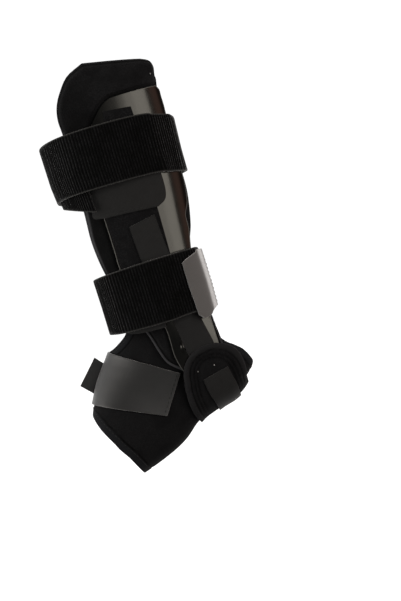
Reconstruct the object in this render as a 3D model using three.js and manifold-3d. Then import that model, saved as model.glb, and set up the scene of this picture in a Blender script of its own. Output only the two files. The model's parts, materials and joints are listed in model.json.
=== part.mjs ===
// Ankle brace for a right leg, worn and fastened: a soft sleeve round the foot, a padded plastic
// shell on each side of the ankle, a stirrup under the heel and the straps that hold them.
// Millimetres. +Z runs up the leg, -X points to the toes and -Y to the inner (medial) side.
// The origin is the middle of the ankle joint.

import * as THREE from "three";
import Module from "manifold-3d";
import { mergeVertices } from "three/addons/utils/BufferGeometryUtils.js";

const manifold = await Module();
manifold.setup();

// Walls of the layers, from the foot outwards.
const SLEEVE_WALL = 3;
const SHELL_WALL = 2.5;
const FABRIC_WALL = 1.3;
const STIRRUP_WALL = 3;
const STRAP_WALL = 2.4;
const LAYER_GAP = 0.6;

// Where the horizontal sections of the leg end and the fan of foot sections begins.
const ANKLE_Z = 20;
const FAN_X = -105;
const FRONT_POWER = 2.2;
const BACK_POWER = 2.7;

// Sections of the leg inside the pads: height, front and back, and half the width.
const LEG = [
  { z: 20, front: -47.5, back: 46, half: 37.5 },
  { z: 48, front: -47.4, back: 45, half: 37 },
  { z: 76, front: -47.8, back: 45.5, half: 38 },
  { z: 110, front: -49.5, back: 49, half: 41 },
  { z: 145, front: -56, back: 53, half: 44.5 },
  { z: 200, front: -57.5, back: 56, half: 48 },
  { z: 265, front: -58.5, back: 57, half: 50 },
];

// Sections of the foot on planes that fan out from a line ahead of the instep: the turn of the
// plane in degrees, the distances to the instep and to the heel or sole, and half the width.
const FOOT = [
  { turn: 0, instep: 57.5, sole: 151, half: 37.5 },
  { turn: 6, instep: 53, sole: 160, half: 37 },
  { turn: 12, instep: 49.5, sole: 171, half: 36 },
  { turn: 18, instep: 47.2, sole: 179, half: 35 },
  { turn: 24, instep: 45.7, sole: 172, half: 34.5 },
  { turn: 30, instep: 44.8, sole: 156.5, half: 34 },
  { turn: 36, instep: 44.4, sole: 148, half: 34 },
  { turn: 42, instep: 44.5, sole: 142.5, half: 34.5 },
  { turn: 48, instep: 45.3, sole: 141, half: 35.5 },
  { turn: 54, instep: 47, sole: 138.5, half: 36.5 },
  { turn: 60, instep: 49.6, sole: 135.8, half: 37.5 },
  { turn: 66, instep: 53.3, sole: 133.8, half: 38 },
  { turn: 70, instep: 56.6, sole: 133, half: 38 },
  { turn: 76, instep: 64, sole: 133, half: 38 },
];

// Distance from the leg or sleeve to the inside of the shell, and how far the pad stands
// out past the shell's inside face round its edge.
const STANDOFF = [
  { z: -50, shell: 3.2, pad: 2.6 },
  { z: -24, shell: 4, pad: 4.6 },
  { z: 0, shell: 5.4, pad: 7.4 },
  { z: 20, shell: 7, pad: 8.6 },
  { z: 76, shell: 8.2, pad: 8.9 },
  { z: 190, shell: 8.4, pad: 9.2 },
  { z: 222, shell: 8.4, pad: 12 },
  { z: 265, shell: 8.4, pad: 12.6 },
];

// Outlines on the medial side as they are seen from it, a row from the lowest line to the top one.
const PAD_OUTLINE = [
  { frontX: 8, frontZ: -29, backX: 39, backZ: -29 },
  { frontX: 0, frontZ: -23, backX: 42, backZ: -21 },
  { frontX: -9, frontZ: -14.5, backX: 43.5, backZ: -13 },
  { frontX: -13.8, frontZ: -1.5, backX: 43, backZ: -2 },
  { frontX: -17.7, frontZ: 13, backX: 42, backZ: 9 },
  { frontX: -28, frontZ: 42, backX: 38, backZ: 42 },
  { frontX: -38.6, frontZ: 75, backX: 39, backZ: 75 },
  { frontX: -42.2, frontZ: 105, backX: 47.5, backZ: 103 },
  { frontX: -41, frontZ: 134, backX: 52.5, backZ: 134 },
  { frontX: -39.5, frontZ: 170, backX: 52.5, backZ: 170 },
  { frontX: -38.6, frontZ: 204, backX: 53, backZ: 203 },
  { frontX: -38.8, frontZ: 219, backX: 53.2, backZ: 219 },
  { frontX: -36, frontZ: 231, backX: 54.3, backZ: 232 },
  { frontX: -29.5, frontZ: 242, backX: 55.6, backZ: 241 },
  { frontX: -19.5, frontZ: 252.6, backX: 53.5, backZ: 247.5 },
  { frontX: -3.5, frontZ: 259.6, backX: 47, backZ: 250.3 },
];

const SHELL_OUTLINE = [
  { frontX: 21, frontZ: -43, backX: 31, backZ: -43 },
  { frontX: 15, frontZ: -39, backX: 35, backZ: -39 },
  { frontX: 9, frontZ: -33, backX: 37.5, backZ: -33 },
  { frontX: 2.5, frontZ: -25, backX: 39, backZ: -25 },
  { frontX: -1, frontZ: -10, backX: 40, backZ: -10 },
  { frontX: -1.2, frontZ: 14, backX: 40, backZ: 14 },
  { frontX: -8, frontZ: 36, backX: 38.8, backZ: 36 },
  { frontX: -18.5, frontZ: 57, backX: 38.8, backZ: 57 },
  { frontX: -24.6, frontZ: 77, backX: 41, backZ: 78 },
  { frontX: -24.8, frontZ: 95, backX: 44.5, backZ: 96 },
  { frontX: -24.8, frontZ: 108, backX: 45.4, backZ: 108 },
  { frontX: -24.9, frontZ: 120, backX: 50.4, backZ: 120 },
  { frontX: -25, frontZ: 138, backX: 53, backZ: 138 },
  { frontX: -24, frontZ: 165, backX: 52.8, backZ: 165 },
  { frontX: -20, frontZ: 186, backX: 53.8, backZ: 186 },
  { frontX: -13, frontZ: 202, backX: 55, backZ: 203 },
  { frontX: -4, frontZ: 213, backX: 55.1, backZ: 213.5 },
  { frontX: 3, frontZ: 219.2, backX: 55.2, backZ: 219.5 },
  { frontX: 11, frontZ: 223, backX: 53.2, backZ: 223.8 },
];

const LOOP_PATCH_OUTLINE = [
  { frontX: -15.5, frontZ: 59, backX: 20.5, backZ: 59 },
  { frontX: -22.6, frontZ: 78, backX: 22, backZ: 78 },
  { frontX: -22.8, frontZ: 106, backX: 22.8, backZ: 106 },
  { frontX: -22.9, frontZ: 134, backX: 23.4, backZ: 134 },
];

const HOOK_PATCH_OUTLINE = [
  { frontX: 0.5, frontZ: 184, backX: 27, backZ: 184 },
  { frontX: 0.5, frontZ: 200, backX: 27, backZ: 199 },
  { frontX: 1.5, frontZ: 213.5, backX: 26.7, backZ: 211 },
];

const LIFT_STRIP_OUTLINE = [
  { frontX: 13.2, frontZ: -22, backX: 36, backZ: -20 },
  { frontX: 11, frontZ: -11, backX: 36, backZ: -9 },
  { frontX: 7.7, frontZ: 15, backX: 31.5, backZ: 15 },
  { frontX: 2, frontZ: 42, backX: 26, backZ: 43 },
  { frontX: -3.6, frontZ: 76, backX: 20, backZ: 78 },
  { frontX: -5.6, frontZ: 111.2, backX: 18.8, backZ: 115.6 },
];

const UPPER_ANCHOR_OUTLINE = [
  { frontX: -23.5, frontZ: 125, backX: 24.5, backZ: 121.4 },
  { frontX: -33.5, frontZ: 129, backX: 32.4, backZ: 127 },
  { frontX: -30, frontZ: 143, backX: 34.9, backZ: 141 },
  { frontX: -27, frontZ: 172, backX: 34, backZ: 171 },
];

// The straps' courses: turns round the leg from the front by way of the medial side, the layer
// that the strap lies in there and the heights of its two edges.
const UPPER_STRAP_COURSE = [
  { turn: -0.2, layer: 1, low: 148, high: 200 },
  { turn: 0, layer: 1, low: 151, high: 202 },
  { turn: 0.2, layer: 1, low: 150, high: 203 },
  { turn: 0.31, layer: 0, low: 148.5, high: 201.5 },
  { turn: 0.42, layer: 0, low: 144.8, high: 195.5 },
  { turn: 0.58, layer: 0, low: 148.8, high: 197 },
  { turn: 0.75, layer: 0, low: 147, high: 198 },
  { turn: 1.01, layer: 0, low: 145, high: 198 },
  { turn: 1.18, layer: 0, low: 131, high: 182 },
];

// How far forward and back cloth lies on the shells under the straps, the least bend of a strap
// and the share of a turn that goes by its bends, the rest by its length.
const STACK_FRONT_X = -32;
const STACK_BACK_X = 34;
const CORNER_RADIUS = 0.8;
const BEND_SHARE = 0.4;

const UPPER_TAB_COURSE = [
  { turn: -0.33, layer: 1, low: 153, high: 192 },
  { turn: -0.3, layer: 1, low: 146, high: 199 },
  { turn: -0.202, layer: 1, low: 146, high: 199 },
];

const LOWER_STRAP_COURSE = [
  { turn: 0.503, layer: 1, low: 22.2, high: 75.3 },
  { turn: 0.54, layer: 1, low: 22.5, high: 75.5 },
  { turn: 0.64, layer: 0, low: 23.5, high: 76 },
  { turn: 0.8, layer: 0, low: 24, high: 76 },
  { turn: 0.98, layer: 0, low: 24.4, high: 75.4 },
  { turn: 1.06, layer: 0.3, low: 23.6, high: 75.6 },
  { turn: 1.13, layer: 0.72, low: 22.2, high: 76 },
  { turn: 1.262, layer: 0.72, low: 20.5, high: 77 },
  { turn: 1.3, layer: 0, low: 21.5, high: 77 },
  { turn: 1.49, layer: 0, low: 23, high: 77 },
];

const LOWER_TAB_COURSE = [
  { turn: 0.319, layer: 1, low: 18.5, high: 66.5 },
  { turn: 0.332, layer: 1, low: 14, high: 69 },
  { turn: 0.38, layer: 1, low: 18.5, high: 73.5 },
  { turn: 0.5, layer: 1, low: 22.2, high: 75.3 },
];

const LOWER_ANCHOR_COURSE = [
  { turn: 0.146, layer: 0, low: 20.5, high: 60 },
  { turn: 0.2, layer: 0, low: 17.5, high: 60 },
  { turn: 0.25, layer: 0, low: 16.3, high: 60 },
];

// Stirrup under the heel: the middle and half width of its round-topped pockets.
const POCKET_X = 26.9;
const POCKET_HALF = 26.2;
const POCKET_SIDE_Z = -36;
const POCKET_ARCH = 27.6;
const POCKET_SPREAD = 32;

// Heel strap: its edges on the pocket and under the sole, and the height of its ends.
const HEEL_STRAP = [
  { edge: 0, topX: 16.6, soleX: 19.8, topZ: -35.7 },
  { edge: 1, topX: 38.8, soleX: 43, topZ: -30.4 },
];

// Instep strap: its end on the sole side of the foot, and the turns of the foot sections that
// its two edges cross at the crest of the instep.
const INSTEP_STRAP = [
  { edge: 0, endX: -23, endZ: -59.5, crestTurn: 68.5 },
  { edge: 1, endX: -0.5, endZ: -26.5, crestTurn: 13 },
];

// Sleeve: its top edge, in degrees of the foot fan, or millimetres above the ankle where it is
// negative, and its toe edge, in degrees; round 0 is the heel or sole and 180 the instep.
const SLEEVE_TOP = [
  { round: 0, turn: 18.6 },
  { round: 17, turn: 16.9 },
  { round: 26, turn: 15 },
  { round: 39, turn: 13.4 },
  { round: 51, turn: 11.2 },
  { round: 59, turn: 5 },
  { round: 70, turn: -14 },
  { round: 85, turn: -27 },
  { round: 110, turn: -22 },
  { round: 125, turn: -12 },
  { round: 143, turn: 0.8 },
  { round: 162, turn: 9.5 },
  { round: 180, turn: 12.6 },
];
const SLEEVE_TOE = [
  { round: 0, turn: 69.3 },
  { round: 66, turn: 69.4 },
  { round: 90, turn: 71.2 },
  { round: 126, turn: 73.7 },
  { round: 180, turn: 74.6 },
];

// Bare label tab sewn in at the instep crest.
const LABEL_LENGTH = 29;
const LABEL_REACH = 9.2;
const LABEL_WALL = 0.8;
const LABEL_CREST_TURN = 43.5;
const LABEL_LEAN = 43.5;

const BLACK_CLOTH = new THREE.MeshStandardMaterial({ name: "brushed_cloth", color: 0x151516, roughness: 0.95 });
const SLEEVE_CLOTH = new THREE.MeshStandardMaterial({ name: "sleeve_cloth", color: 0x121213, roughness: 0.95 });
const SHELL_PLASTIC = new THREE.MeshStandardMaterial({ name: "gloss_shell", color: 0x0c0c0d, roughness: 0.22 });
const STRAP_LOOP = new THREE.MeshStandardMaterial({ name: "strap_loop", color: 0x0e0e0f, roughness: 0.95 });
const PATCH_LOOP = new THREE.MeshStandardMaterial({ name: "patch_loop", color: 0x101112, roughness: 0.95 });
const HOOK_TAPE = new THREE.MeshStandardMaterial({ name: "hook_tape", color: 0x2a2928, roughness: 0.7 });
const LABEL_TAPE = new THREE.MeshStandardMaterial({ name: "label_tape", color: 0x0d0d0e, roughness: 0.8 });

const radians = THREE.MathUtils.degToRad;
const mix = THREE.MathUtils.lerp;
const ease = THREE.MathUtils.smoothstep;

// Reads a table at a value of its key column, along smooth curves through its rows.
function readTable(table, key, value) {
  const last = table.length - 1;
  const at = THREE.MathUtils.clamp(value, table[0][key], table[last][key]);
  let row = 0;
  while (row < last - 1 && at > table[row + 1][key]) row += 1;
  const [before, from, to, after] = [row - 1, row, row + 1, row + 2].map(
    (index) => table[THREE.MathUtils.clamp(index, 0, last)],
  );
  const span = to[key] - from[key];
  const t = (at - from[key]) / span;
  const read = {};
  for (const column of Object.keys(from)) {
    const slope = (a, b) => ((b[column] - a[column]) / Math.max(b[key] - a[key], 1e-9)) * span;
    const leave = slope(before, to) * t * (1 - t) ** 2;
    const arrive = slope(from, after) * t ** 2 * (t - 1);
    read[column] = mix(from[column], to[column], t * t * (3 - 2 * t)) + leave + arrive;
  }
  return read;
}

function readRows(table, v) {
  const numbered = table.map((row, index) => ({ ...row, share: index / (table.length - 1) }));
  return readTable(numbered, "share", v);
}

// The section of the leg or foot that runs through a point of the middle plane.
function sectionAt(x, z) {
  if (z >= ANKLE_Z) {
    const leg = readTable(LEG, "z", z);
    return { along: x, near: leg.front, far: leg.back, half: leg.half };
  }
  const ahead = x - FAN_X;
  const below = ANKLE_Z - z;
  const foot = readTable(FOOT, "turn", THREE.MathUtils.radToDeg(Math.atan2(below, ahead)));
  return { along: Math.hypot(ahead, below), near: foot.instep, far: foot.sole, half: foot.half };
}

// Half the width of the leg or foot at a point of the middle plane.
function halfWidth(x, z) {
  const section = sectionAt(x, z);
  const reach = (section.far - section.near) / 2;
  const share = (section.along - section.near) / reach - 1;
  const power = share < 0 ? FRONT_POWER : BACK_POWER;
  return section.half * Math.max(1 - Math.abs(share) ** power, 0) ** (1 / power);
}

function bodyPoint(x, z, side = -1) {
  return new THREE.Vector3(x, side * halfWidth(x, z), z);
}

// The outward direction of a surface given by two parameters.
function normalOf(surface, u, v) {
  const step = 0.004;
  const [u0, u1] = [Math.max(u - step, 0), Math.min(u + step, 1)];
  const [v0, v1] = [Math.max(v - step, 0), Math.min(v + step, 1)];
  const across = surface(u1, v).sub(surface(u0, v));
  const along = surface(u, v1).sub(surface(u, v0));
  return across.cross(along).normalize();
}

// A closed wall between two offsets of a surface, as an open sheet or as a ring.
function wall(surface, { columns, rows, inside, outside, ring = false }) {
  const count = ring ? columns : columns + 1;
  const positions = [];
  const faces = [];
  for (const offset of [inside, outside]) {
    for (let j = 0; j <= rows; j += 1) {
      for (let i = 0; i < count; i += 1) {
        const [u, v] = [i / columns, j / rows];
        const point = surface(u, v);
        positions.push(...point.addScaledVector(normalOf(surface, u, v), offset(u, v, point)).toArray());
      }
    }
  }
  const inner = (i, j) => j * count + (i % count);
  const outer = (i, j) => inner(i, j) + count * (rows + 1);
  const quad = (a, b, c, d) => faces.push(a, b, c, a, c, d);
  for (let i = 0; i < columns; i += 1) {
    for (let j = 0; j < rows; j += 1) {
      quad(outer(i, j), outer(i + 1, j), outer(i + 1, j + 1), outer(i, j + 1));
      quad(inner(i, j), inner(i, j + 1), inner(i + 1, j + 1), inner(i + 1, j));
    }
    quad(inner(i, 0), inner(i + 1, 0), outer(i + 1, 0), outer(i, 0));
    quad(outer(i, rows), outer(i + 1, rows), inner(i + 1, rows), inner(i, rows));
  }
  for (let j = 0; j < rows && !ring; j += 1) {
    quad(inner(0, j), outer(0, j), outer(0, j + 1), inner(0, j + 1));
    quad(outer(columns, j), inner(columns, j), inner(columns, j + 1), outer(columns, j + 1));
  }
  const geometry = new THREE.BufferGeometry();
  geometry.setAttribute("position", new THREE.Float32BufferAttribute(positions, 3));
  geometry.setIndex(faces);
  geometry.computeVertexNormals();
  return geometry;
}

const standoff = (z) => readTable(STANDOFF, "z", z).shell;
const shellOuter = (z) => standoff(z) + SHELL_WALL;
const patchOuter = (z) => shellOuter(z) + LAYER_GAP + FABRIC_WALL;
const stripUnder = (z) => mix(shellOuter(z), patchOuter(z), ease(z, 40, 57));
const stackOuter = (z) => patchOuter(z) + LAYER_GAP + FABRIC_WALL;

// The point of the leg under an edge that is seen at x when it stands off the leg.
function footOfEdge(x, z, offset) {
  const step = 0.2;
  let [low, high] = [x - 20, x + 20];
  for (let round = 0; round < 30; round += 1) {
    const base = (low + high) / 2;
    const slopeX = (halfWidth(base + step, z) - halfWidth(base - step, z)) / (2 * step);
    const slopeZ = (halfWidth(base, z + step) - halfWidth(base, z - step)) / (2 * step);
    const seen = base - (slopeX / Math.hypot(1, slopeX, slopeZ)) * offset;
    const past = halfWidth(base, z) < 6 ? Math.sign(x) : 0;
    if (past > 0 || (past === 0 && seen > x)) high = base;
    else low = base;
  }
  return (low + high) / 2;
}

// A surface of the medial side inside an outline whose edges stand off the leg.
function panel(outline, edgeOffset, grow = 0) {
  const rows = outline.map((row) => ({
    front: footOfEdge(row.frontX - grow, row.frontZ, edgeOffset(row.frontZ)),
    back: footOfEdge(row.backX + grow, row.backZ, edgeOffset(row.backZ)),
    frontZ: row.frontZ,
    backZ: row.backZ,
  }));
  rows[rows.length - 1].frontZ += grow;
  rows[rows.length - 1].backZ += grow;
  return (u, v) => {
    const row = readRows(rows, v);
    return bodyPoint(mix(row.front, row.back, u), mix(row.frontZ, row.backZ, u));
  };
}

function geometryToSolid(geometry) {
  const merged = mergeVertices(geometry.clone().deleteAttribute("normal"));
  return new manifold.Manifold(
    new manifold.Mesh({
      numProp: 3,
      vertProperties: Float32Array.from(merged.attributes.position.array),
      triVerts: Uint32Array.from(merged.index.array),
    }),
  );
}

function solidToGeometry(solid) {
  const mesh = solid.getMesh();
  const geometry = new THREE.BufferGeometry();
  geometry.setAttribute("position", new THREE.Float32BufferAttribute(mesh.vertProperties, 3));
  geometry.setIndex(Array.from(mesh.triVerts));
  geometry.computeVertexNormals();
  return geometry;
}

// Foam pad with a thinner edge, and the seat that the shell lies in cut out of it.
function makePad() {
  const edge = (share) => ease(Math.min(share, 1 - share), -0.06, 0.1);
  const full = (z) => readTable(STANDOFF, "z", z).pad;
  const body = wall(panel(PAD_OUTLINE, (z) => 0.6 * full(z)), {
    columns: 10,
    rows: 20,
    inside: () => 1.5 * LAYER_GAP,
    outside: (u, v, point) => full(point.z) * (0.35 + 0.65 * edge(u) * edge(0.5 + (v - 0.5) * 0.97)),
  });
  const seat = wall(panel(SHELL_OUTLINE, shellOuter, LAYER_GAP), {
    columns: 9,
    rows: 20,
    inside: (u, v, point) => standoff(point.z) - LAYER_GAP,
    outside: (u, v, point) => shellOuter(point.z) + 8,
  });
  return solidToGeometry(geometryToSolid(body).subtract(geometryToSolid(seat)));
}

function makeShell() {
  return wall(panel(SHELL_OUTLINE, shellOuter), {
    columns: 9,
    rows: 20,
    inside: (u, v, point) => standoff(point.z),
    outside: (u, v, point) => shellOuter(point.z),
  });
}

// Flat cloth that lies on the shell above a given layer.
function makePatch(outline, under, columns, rows) {
  return wall(panel(outline, (z) => under(z) + FABRIC_WALL), {
    columns,
    rows,
    inside: (u, v, point) => under(point.z) + LAYER_GAP,
    outside: (u, v, point) => under(point.z) + LAYER_GAP + FABRIC_WALL,
  });
}

// The taut loop at one height round the shells, what lies on them and the front of the leg:
// points at even steps from the front by way of the medial side, with their outward directions.
function tautLoop(z) {
  const shell = SHELL_OUTLINE.map((row, index) => ({ ...row, share: index / (SHELL_OUTLINE.length - 1) }));
  const limits = readTable(shell, "backZ", z);
  const front = readTable(LEG, "z", z).front;
  const touched = [[front, 0]];
  for (let step = 0; step <= 8; step += 1) {
    const x = mix(front, front * 0.72, step / 8);
    touched.push([x, -halfWidth(x, z)], [x, halfWidth(x, z)]);
  }
  for (let step = 0; step <= 40; step += 1) {
    const x = mix(front * 0.72, footOfEdge(limits.backX, z, shellOuter(z)), step / 40);
    const point = bodyPoint(x, z);
    const slope = (halfWidth(x + 0.2, z) - halfWidth(x - 0.2, z)) / 0.4;
    const covered = x > STACK_FRONT_X && x < STACK_BACK_X;
    const lift = (covered ? stackOuter(z) : shellOuter(z)) / Math.hypot(1, slope);
    touched.push([x - slope * lift, point.y - lift], [x - slope * lift, lift - point.y]);
  }
  const corners = [];
  for (let step = 0; step < 720; step += 1) {
    const angle = Math.PI + (step / 720) * 2 * Math.PI;
    const [dirX, dirY] = [Math.cos(angle), Math.sin(angle)];
    let best = touched[0];
    for (const point of touched) {
      if (point[0] * dirX + point[1] * dirY > best[0] * dirX + best[1] * dirY + 1e-9) best = point;
    }
    corners.push({ x: best[0] + CORNER_RADIUS * dirX, y: best[1] + CORNER_RADIUS * dirY });
  }
  const steps = corners.map((corner, index) => {
    const next = corners[(index + 1) % corners.length];
    return Math.hypot(next.x - corner.x, next.y - corner.y);
  });
  const around = steps.reduce((sum, step) => sum + step, 0);
  const turns = [0];
  steps.forEach((step, index) => turns.push(turns[index] + mix(step / around, 1 / steps.length, BEND_SHARE)));
  return { corners, turns };
}

function loopPoint(loop, turn) {
  const { corners, turns } = loop;
  const goal = turn - Math.floor(turn);
  let [low, high] = [0, corners.length];
  while (high - low > 1) {
    const middle = (low + high) >> 1;
    if (turns[middle] <= goal) low = middle;
    else high = middle;
  }
  const [from, to] = [corners[low], corners[(low + 1) % corners.length]];
  const t = (goal - turns[low]) / (turns[low + 1] - turns[low]);
  return [mix(from.x, to.x, t), mix(from.y, to.y, t)];
}

// A strap that follows its course round the leg.
function makeStrap(course, { columns, thickness, lift }) {
  const heights = course.flatMap((row) => [row.low, row.high]);
  const lowest = Math.min(...heights);
  const highest = Math.max(...heights);
  const loops = [0, 0.5, 1].map((share) => tautLoop(mix(lowest, highest, share)));
  const surface = (u, v) => {
    const row = readTable(course, "turn", mix(course[0].turn, course[course.length - 1].turn, u));
    const z = mix(row.low, row.high, v);
    const share = (2 * (z - lowest)) / (highest - lowest);
    const lower = Math.min(Math.max(Math.floor(share), 0), 1);
    const [fromX, fromY] = loopPoint(loops[lower], row.turn);
    const [toX, toY] = loopPoint(loops[lower + 1], row.turn);
    return new THREE.Vector3(mix(fromX, toX, share - lower), mix(fromY, toY, share - lower), z);
  };
  const layerOf = (u) => {
    const turn = mix(course[0].turn, course[course.length - 1].turn, u);
    return readTable(course, "turn", turn).layer * (STRAP_WALL + LAYER_GAP);
  };
  return wall(surface, {
    columns,
    rows: 2,
    inside: (u) => lift + layerOf(u),
    outside: (u) => lift + layerOf(u) + thickness,
  });
}

// Where the sole of the foot lies under a point of the middle plane.
function soleUnder(x) {
  let [low, high] = [-110, POCKET_SIDE_Z + 4];
  for (let round = 0; round < 40; round += 1) {
    const middle = (low + high) / 2;
    const section = sectionAt(x, middle);
    if (section.along > section.far) low = middle;
    else high = middle;
  }
  return high;
}

// How far the pocket stands off the sleeve to hold the shell's foot and the end of the lift strip.
function pocketInside(x, z) {
  const tip = SHELL_OUTLINE[0].frontZ;
  const limits = readTable(SHELL_OUTLINE, "backZ", Math.max(z, tip));
  const aside = Math.max(limits.frontX - x, x - limits.backX, 0);
  const cover = 1 - ease(Math.hypot(aside, Math.max(tip - z, 0)), 5, POCKET_SPREAD);
  return mix(1.7 * LAYER_GAP, stripUnder(z) + FABRIC_WALL + 2 * LAYER_GAP, cover);
}

// A band that hangs from the medial side, under the sole and up the lateral side.
function slingPoint(topX, soleX, topZ, v) {
  const hang = 1 - 2 * v;
  const depth = Math.abs(hang) ** BACK_POWER;
  const x = mix(soleX, topX, depth);
  return bodyPoint(x, mix(soleUnder(x), topZ, depth), hang > 0 ? 1 : -1);
}

function makeStirrup() {
  const surface = (u, v) => {
    const across = -Math.cos(Math.PI * mix(0.02, 0.98, u));
    const x = POCKET_X + POCKET_HALF * across;
    return slingPoint(x, x, POCKET_SIDE_Z + POCKET_ARCH * Math.sqrt(1 - across * across), v);
  };
  const inside = (u, v, point) => pocketInside(point.x, point.z);
  return wall(surface, {
    columns: 10,
    rows: 22,
    inside,
    outside: (u, v, point) => inside(u, v, point) + STIRRUP_WALL,
  });
}

function makeHeelStrap() {
  const surface = (u, v) => {
    const row = readTable(HEEL_STRAP, "edge", u);
    return slingPoint(row.topX, row.soleX, row.topZ, v);
  };
  const inside = (u, v, point) => pocketInside(point.x, point.z) + STIRRUP_WALL + 2.5 * LAYER_GAP;
  return wall(surface, {
    columns: 4,
    rows: 24,
    inside,
    outside: (u, v, point) => inside(u, v, point) + FABRIC_WALL,
  });
}

// The crest of the instep on one section of the foot.
function crestPoint(turn) {
  const reach = readTable(FOOT, "turn", turn).instep;
  return { x: FAN_X + reach * Math.cos(radians(turn)), z: ANKLE_Z - reach * Math.sin(radians(turn)) };
}

// Flat strap over the crest of the instep from one side of the foot to the other.
function makeInstepStrap() {
  const surface = (u, v) => {
    const row = readTable(INSTEP_STRAP, "edge", v);
    const crest = crestPoint(row.crestTurn);
    const side = 2 * u - 1;
    const down = Math.abs(side) ** FRONT_POWER;
    return bodyPoint(mix(crest.x, row.endX, down), mix(crest.z, row.endZ, down), side < 0 ? 1 : -1);
  };
  return wall(surface, {
    columns: 24,
    rows: 6,
    inside: () => LAYER_GAP,
    outside: () => LAYER_GAP + FABRIC_WALL,
  });
}

// Sleeve round the foot, from its shaped top edge to the toe opening.
function makeSleeve() {
  const surface = (u, v) => {
    const round = 360 * u;
    const fromHeel = round <= 180 ? round : 360 - round;
    const top = readTable(SLEEVE_TOP, "round", fromHeel).turn;
    const station = mix(top, readTable(SLEEVE_TOE, "round", fromHeel).turn, v);
    const turn = Math.max(station, 0);
    const z = ANKLE_Z + Math.max(-station, 0);
    const leg = readTable(LEG, "z", z);
    const foot = readTable(FOOT, "turn", turn);
    const above = station < 0;
    const near = above ? leg.front - FAN_X : foot.instep;
    const far = above ? leg.back - FAN_X : foot.sole;
    const half = above ? leg.half : foot.half;
    const [c, s] = [Math.cos(radians(round)), -Math.sin(radians(round))];
    const power = 2 / (c < 0 ? FRONT_POWER : BACK_POWER);
    const along = (near + far) / 2 + ((far - near) / 2) * Math.sign(c) * Math.abs(c) ** power;
    const side = half * Math.sign(s) * Math.abs(s) ** power;
    const x = FAN_X + along * Math.cos(radians(turn));
    return new THREE.Vector3(x, side, z - along * Math.sin(radians(turn)));
  };
  return wall(surface, {
    columns: 36,
    rows: 12,
    inside: () => -SLEEVE_WALL,
    outside: () => 0,
    ring: true,
  });
}

// Plate with rounded outer corners, flat along the foot and standing out of the instep crest.
function makeLabel() {
  const corner = 2;
  const plate = new THREE.Shape();
  plate.moveTo(-LABEL_LENGTH / 2, 0);
  plate.lineTo(LABEL_LENGTH / 2, 0);
  plate.lineTo(LABEL_LENGTH / 2, LABEL_REACH - corner);
  plate.quadraticCurveTo(LABEL_LENGTH / 2, LABEL_REACH, LABEL_LENGTH / 2 - corner, LABEL_REACH);
  plate.lineTo(corner - LABEL_LENGTH / 2, LABEL_REACH);
  plate.quadraticCurveTo(-LABEL_LENGTH / 2, LABEL_REACH, -LABEL_LENGTH / 2, LABEL_REACH - corner);
  plate.closePath();
  const geometry = new THREE.ExtrudeGeometry(plate, { depth: LABEL_WALL, bevelEnabled: false, curveSegments: 3 });
  geometry.translate(0, 4 * LAYER_GAP + FABRIC_WALL, -LABEL_WALL / 2);
  geometry.rotateX(Math.PI / 2);
  geometry.rotateY(radians(-90 + LABEL_LEAN));
  const crest = crestPoint(LABEL_CREST_TURN);
  return geometry.translate(crest.x, 0, crest.z);
}

const brace = new THREE.Group();
brace.name = "ankle_brace";

function add(parent, name, geometry, material) {
  const mesh = new THREE.Mesh(geometry, material);
  mesh.name = name;
  parent.add(mesh);
}

const SIDE_PIECES = [
  { name: "pad", geometry: makePad(), material: BLACK_CLOTH },
  { name: "shell", geometry: makeShell(), material: SHELL_PLASTIC },
  { name: "loop_patch", geometry: makePatch(LOOP_PATCH_OUTLINE, shellOuter, 7, 6), material: PATCH_LOOP },
  { name: "hook_patch", geometry: makePatch(HOOK_PATCH_OUTLINE, shellOuter, 4, 3), material: PATCH_LOOP },
  { name: "lift_strip", geometry: makePatch(LIFT_STRIP_OUTLINE, stripUnder, 4, 12), material: HOOK_TAPE },
];
for (const side of ["medial", "lateral"]) {
  const group = new THREE.Group();
  group.scale.y = side === "medial" ? 1 : -1;
  SIDE_PIECES.forEach((piece) => add(group, `${side}_${piece.name}`, piece.geometry, piece.material));
  brace.add(group);
}

add(brace, "ankle_sleeve", makeSleeve(), SLEEVE_CLOTH);
add(brace, "heel_stirrup", makeStirrup(), SLEEVE_CLOTH);
add(brace, "heel_strap", makeHeelStrap(), HOOK_TAPE);
add(brace, "instep_strap", makeInstepStrap(), HOOK_TAPE);
add(brace, "label_tab", makeLabel(), LABEL_TAPE);

const strapLift = LAYER_GAP;
const strap = (columns, lift) => ({ columns, thickness: STRAP_WALL, lift });
const tape = (columns, lift) => ({ columns, thickness: FABRIC_WALL, lift });
add(brace, "upper_strap", makeStrap(UPPER_STRAP_COURSE, strap(72, strapLift)), STRAP_LOOP);
add(brace, "upper_strap_tab", makeStrap(UPPER_TAB_COURSE, tape(10, strapLift)), HOOK_TAPE);
add(brace, "upper_strap_anchor", makePatch(UPPER_ANCHOR_OUTLINE, patchOuter, 8, 6), HOOK_TAPE);
add(brace, "lower_strap", makeStrap(LOWER_STRAP_COURSE, strap(60, strapLift)), STRAP_LOOP);
add(brace, "lower_strap_tab", makeStrap(LOWER_TAB_COURSE, tape(12, strapLift)), HOOK_TAPE);
add(brace, "lower_strap_anchor", makeStrap(LOWER_ANCHOR_COURSE, tape(12, strapLift)), HOOK_TAPE);

export default brace;
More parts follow.
